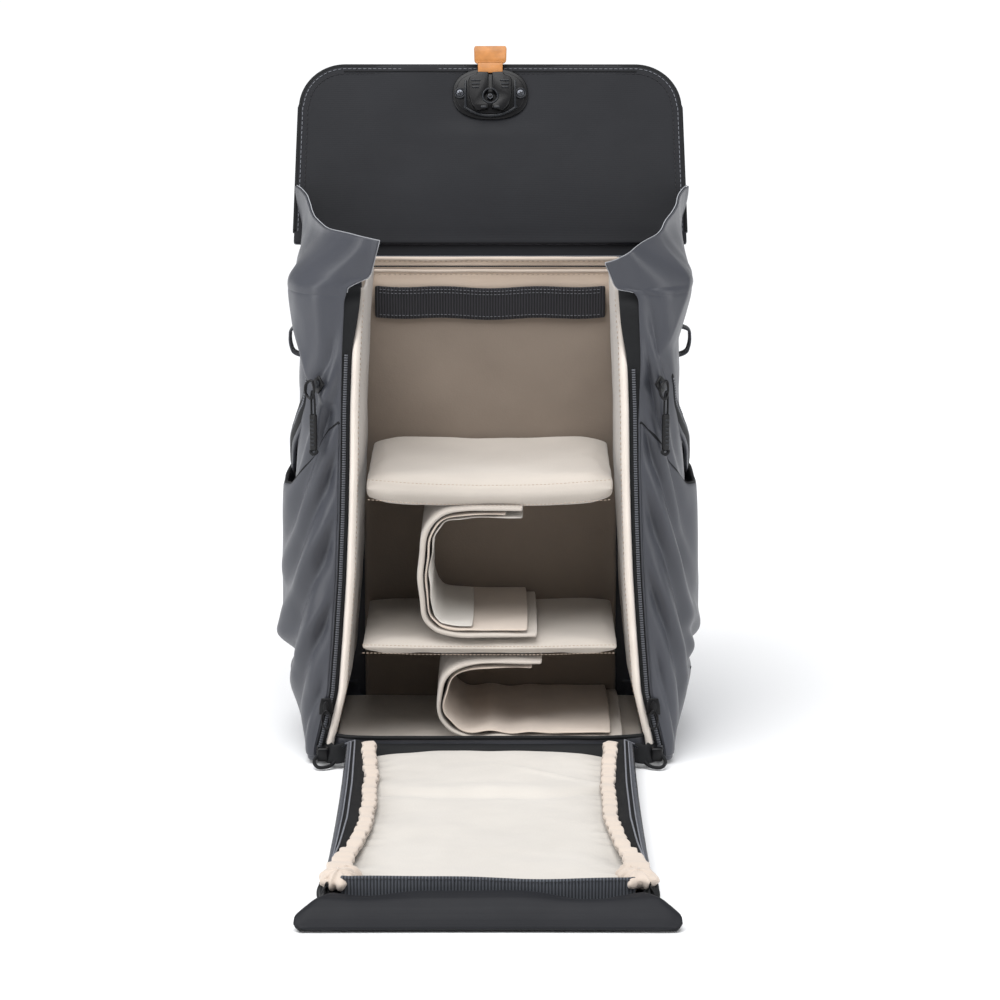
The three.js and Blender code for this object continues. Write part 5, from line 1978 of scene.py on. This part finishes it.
def make_side_slider(name):
    lo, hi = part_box(f"side_slider_{name}")
    mid = (lo + hi) / 2
    along = Vector(JOINTS[f"side_zip_slide_{name}"]["axis"]).normalized()
    out = Vector(JOINTS[f"side_pull_swing_{name}"]["axis"]).normalized()
    out = (out - along * out.dot(along)).normalized()
    across = out.cross(along)
    place = lambda a, b, h: mid + across * a - along * b + out * (h - 2.4 * MM)
    left = [(-4.6 * MM, 7 * MM), (-5.6 * MM, -6 * MM), (-3 * MM, -7.5 * MM)]
    outline = left + [(-a, b) for a, b in reversed(left)]
    plate = prism("plate", outline, place, 0.2 * MM, 2.2 * MM, PLASTIC, None, 0.6 * MM)
    dome = oval(2.3 * MM, 5.2 * MM, 18)
    crown = prism("crown", dome, place, 2.0 * MM, 3.7 * MM, PLASTIC_LIGHT, None, 0.8 * MM)
    made = merged(f"side_slider_body_{name}", [plate, crown], f"side_zip_slider_{name}")
    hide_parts(f"side_slider_{name}")


def make_side_pull(name):
    """A D-shaped eye on the slider, a doubled cord through it and a moulded grip with a knot below."""
    lo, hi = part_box(f"side_pull_{name}")
    hang = Vector(((lo.x + hi.x) / 2, (lo.y + hi.y) / 2, hi.z))
    out = Vector(JOINTS[f"side_pull_swing_{name}"]["axis"]).normalized()
    wide = Vector((0, 0, 1)).cross(out)
    place = lambda a, b, h: hang + wide * a + Vector((0, 0, b)) + out * h
    eye = ((-1, 1.5, 0.9), (-6.4, -2, 1.4), (-6.8, -9, 1.4), (-2, -13.5, 1.0), (1.2, -9, 0.7), (1.4, -2, 0.8))
    parts = [cord_loop("eye", eye, place, 60, 1.1 * MM, PLASTIC, 9)]
    cord = ((-1, -8, 0.6), (-1.7, -14, 0.3), (-1.5, -30, 0), (1.5, -30, 0), (1.7, -14, 0.3), (0.6, -8, 0.9))
    parts.append(cord_loop("cord", cord, place, 60, 0.95 * MM, TAPE_CLOTH, 8))
    outline = round_rect(-3.1 * MM, 3.1 * MM, -56 * MM, -26 * MM, 1.5 * MM)
    parts.append(prism("grip", outline, place, -1.5 * MM, 1.6 * MM, PLASTIC, None, 0.7 * MM, 3))
    for k in range(7):
        b = (-52 + 3.4 * k) * MM
        outline = round_rect(-1.9 * MM, 1.9 * MM, b, b + 1.5 * MM, 0.4 * MM, 3)
        parts.append(prism("ridge", outline, place, 1.3 * MM, 2.1 * MM, PLASTIC_LIGHT, None, 0.2 * MM))
    knot = ((-3.5, -57.5, 0), (0, -59.4, 0.8), (3.4, -57.2, 0), (0, -55.4, -0.6))
    parts.append(cord_loop("knot", knot, place, 24, 1.3 * MM, TAPE_CLOTH, 8))
    made = merged(f"side_pull_cord_{name}", parts, f"side_zip_pull_{name}")
    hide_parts(f"side_pull_{name}")


def make_side_loop(name, side):
    """A flat webbing loop whose two ends go in under the side cloth."""
    lo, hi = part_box(f"side_loop_{name}")
    inner, outer = sorted((abs(lo.x), abs(hi.x)))
    cy = (lo.y + hi.y) / 2
    path = [(inner - 9 * MM, hi.z + 1 * MM), (outer - 4 * MM, hi.z - 3 * MM)]
    path += [(outer - 1.4 * MM, hi.z - 9 * MM), (outer - 2.2 * MM, lo.z + 9 * MM)]
    path += [(outer - 6 * MM, lo.z + 3 * MM), (inner - 9 * MM, lo.z - 1 * MM)]
    line = curve_points([Vector((side * x, cy, z)) for x, z in path], 40)
    ups = []
    for i in range(len(line)):
        along = direction_at(line, i)
        ups.append(Vector((along.z, 0, -along.x)))
    loop = tube_mesh(f"side_loop_web_{name}", line, 0, RIB_Y, "case", 12, flat=(8.4 * MM, 1.2 * MM), up=ups)
    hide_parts(f"side_loop_{name}")


def make_corner(name, side):
    """Where the front zip ends: a folded tape, a short cord and its stop at the base's corner."""
    place = lambda x, y, z: Vector((side * x, y, z))
    fold = ((139, -99, 15), (134, -108.5, 12), (126, -111.5, 12), (119, -110, 14))
    line = curve_points([mm(side * x, y, z) for x, y, z in fold], 30)
    tape = tube_mesh("tape", line, 0, TAPE_CLOTH, None, 12, flat=(8 * MM, 1.2 * MM), up=(0, -1, 0.2))
    near, far = mm(side * 139 - 5, -112, 5), mm(side * 139 + 5, -104, 17)
    stop = rounded_box("stop", near, far, 2 * MM, PLASTIC, None)
    route = ((141, -110, 12), (146, -113, 6), (142, -118, 2.4), (134, -116, 2.6), (129, -112, 6),
             (134, -109.5, 10))
    cord = cord_loop("cord", route, place, 54, 1.5 * MM, TAPE_CLOTH, 9)
    made = merged(f"base_corner_{name}", [tape, stop, cord], "case")


def make_sides():
    for name, side in SIDES:
        make_side_zip(name, side)
        make_side_slider(name)
        make_side_pull(name)
        make_side_loop(name, side)
        make_corner(name, side)


# ------------------------------------------------------------------ build
make_studio()
for name, side in SIDES:
    make_wall(name, side)
    make_collar(name, side)
    make_pocket(name, side)
    make_main_zip(name, side)
    make_slider(name)
    make_side_pad(name, side)
make_back_lining()
make_back_band()
make_back_strap()
make_floor_lining()
make_shelf("divider_upper", "upper_shelf", 5 * MM, 3 * MM)
make_shelf("divider_lower", "lower_shelf", 1.5 * MM, 0.5 * MM)
make_folded_pads()
make_base()
make_front_panel()
make_top()
make_rear()
make_sides()
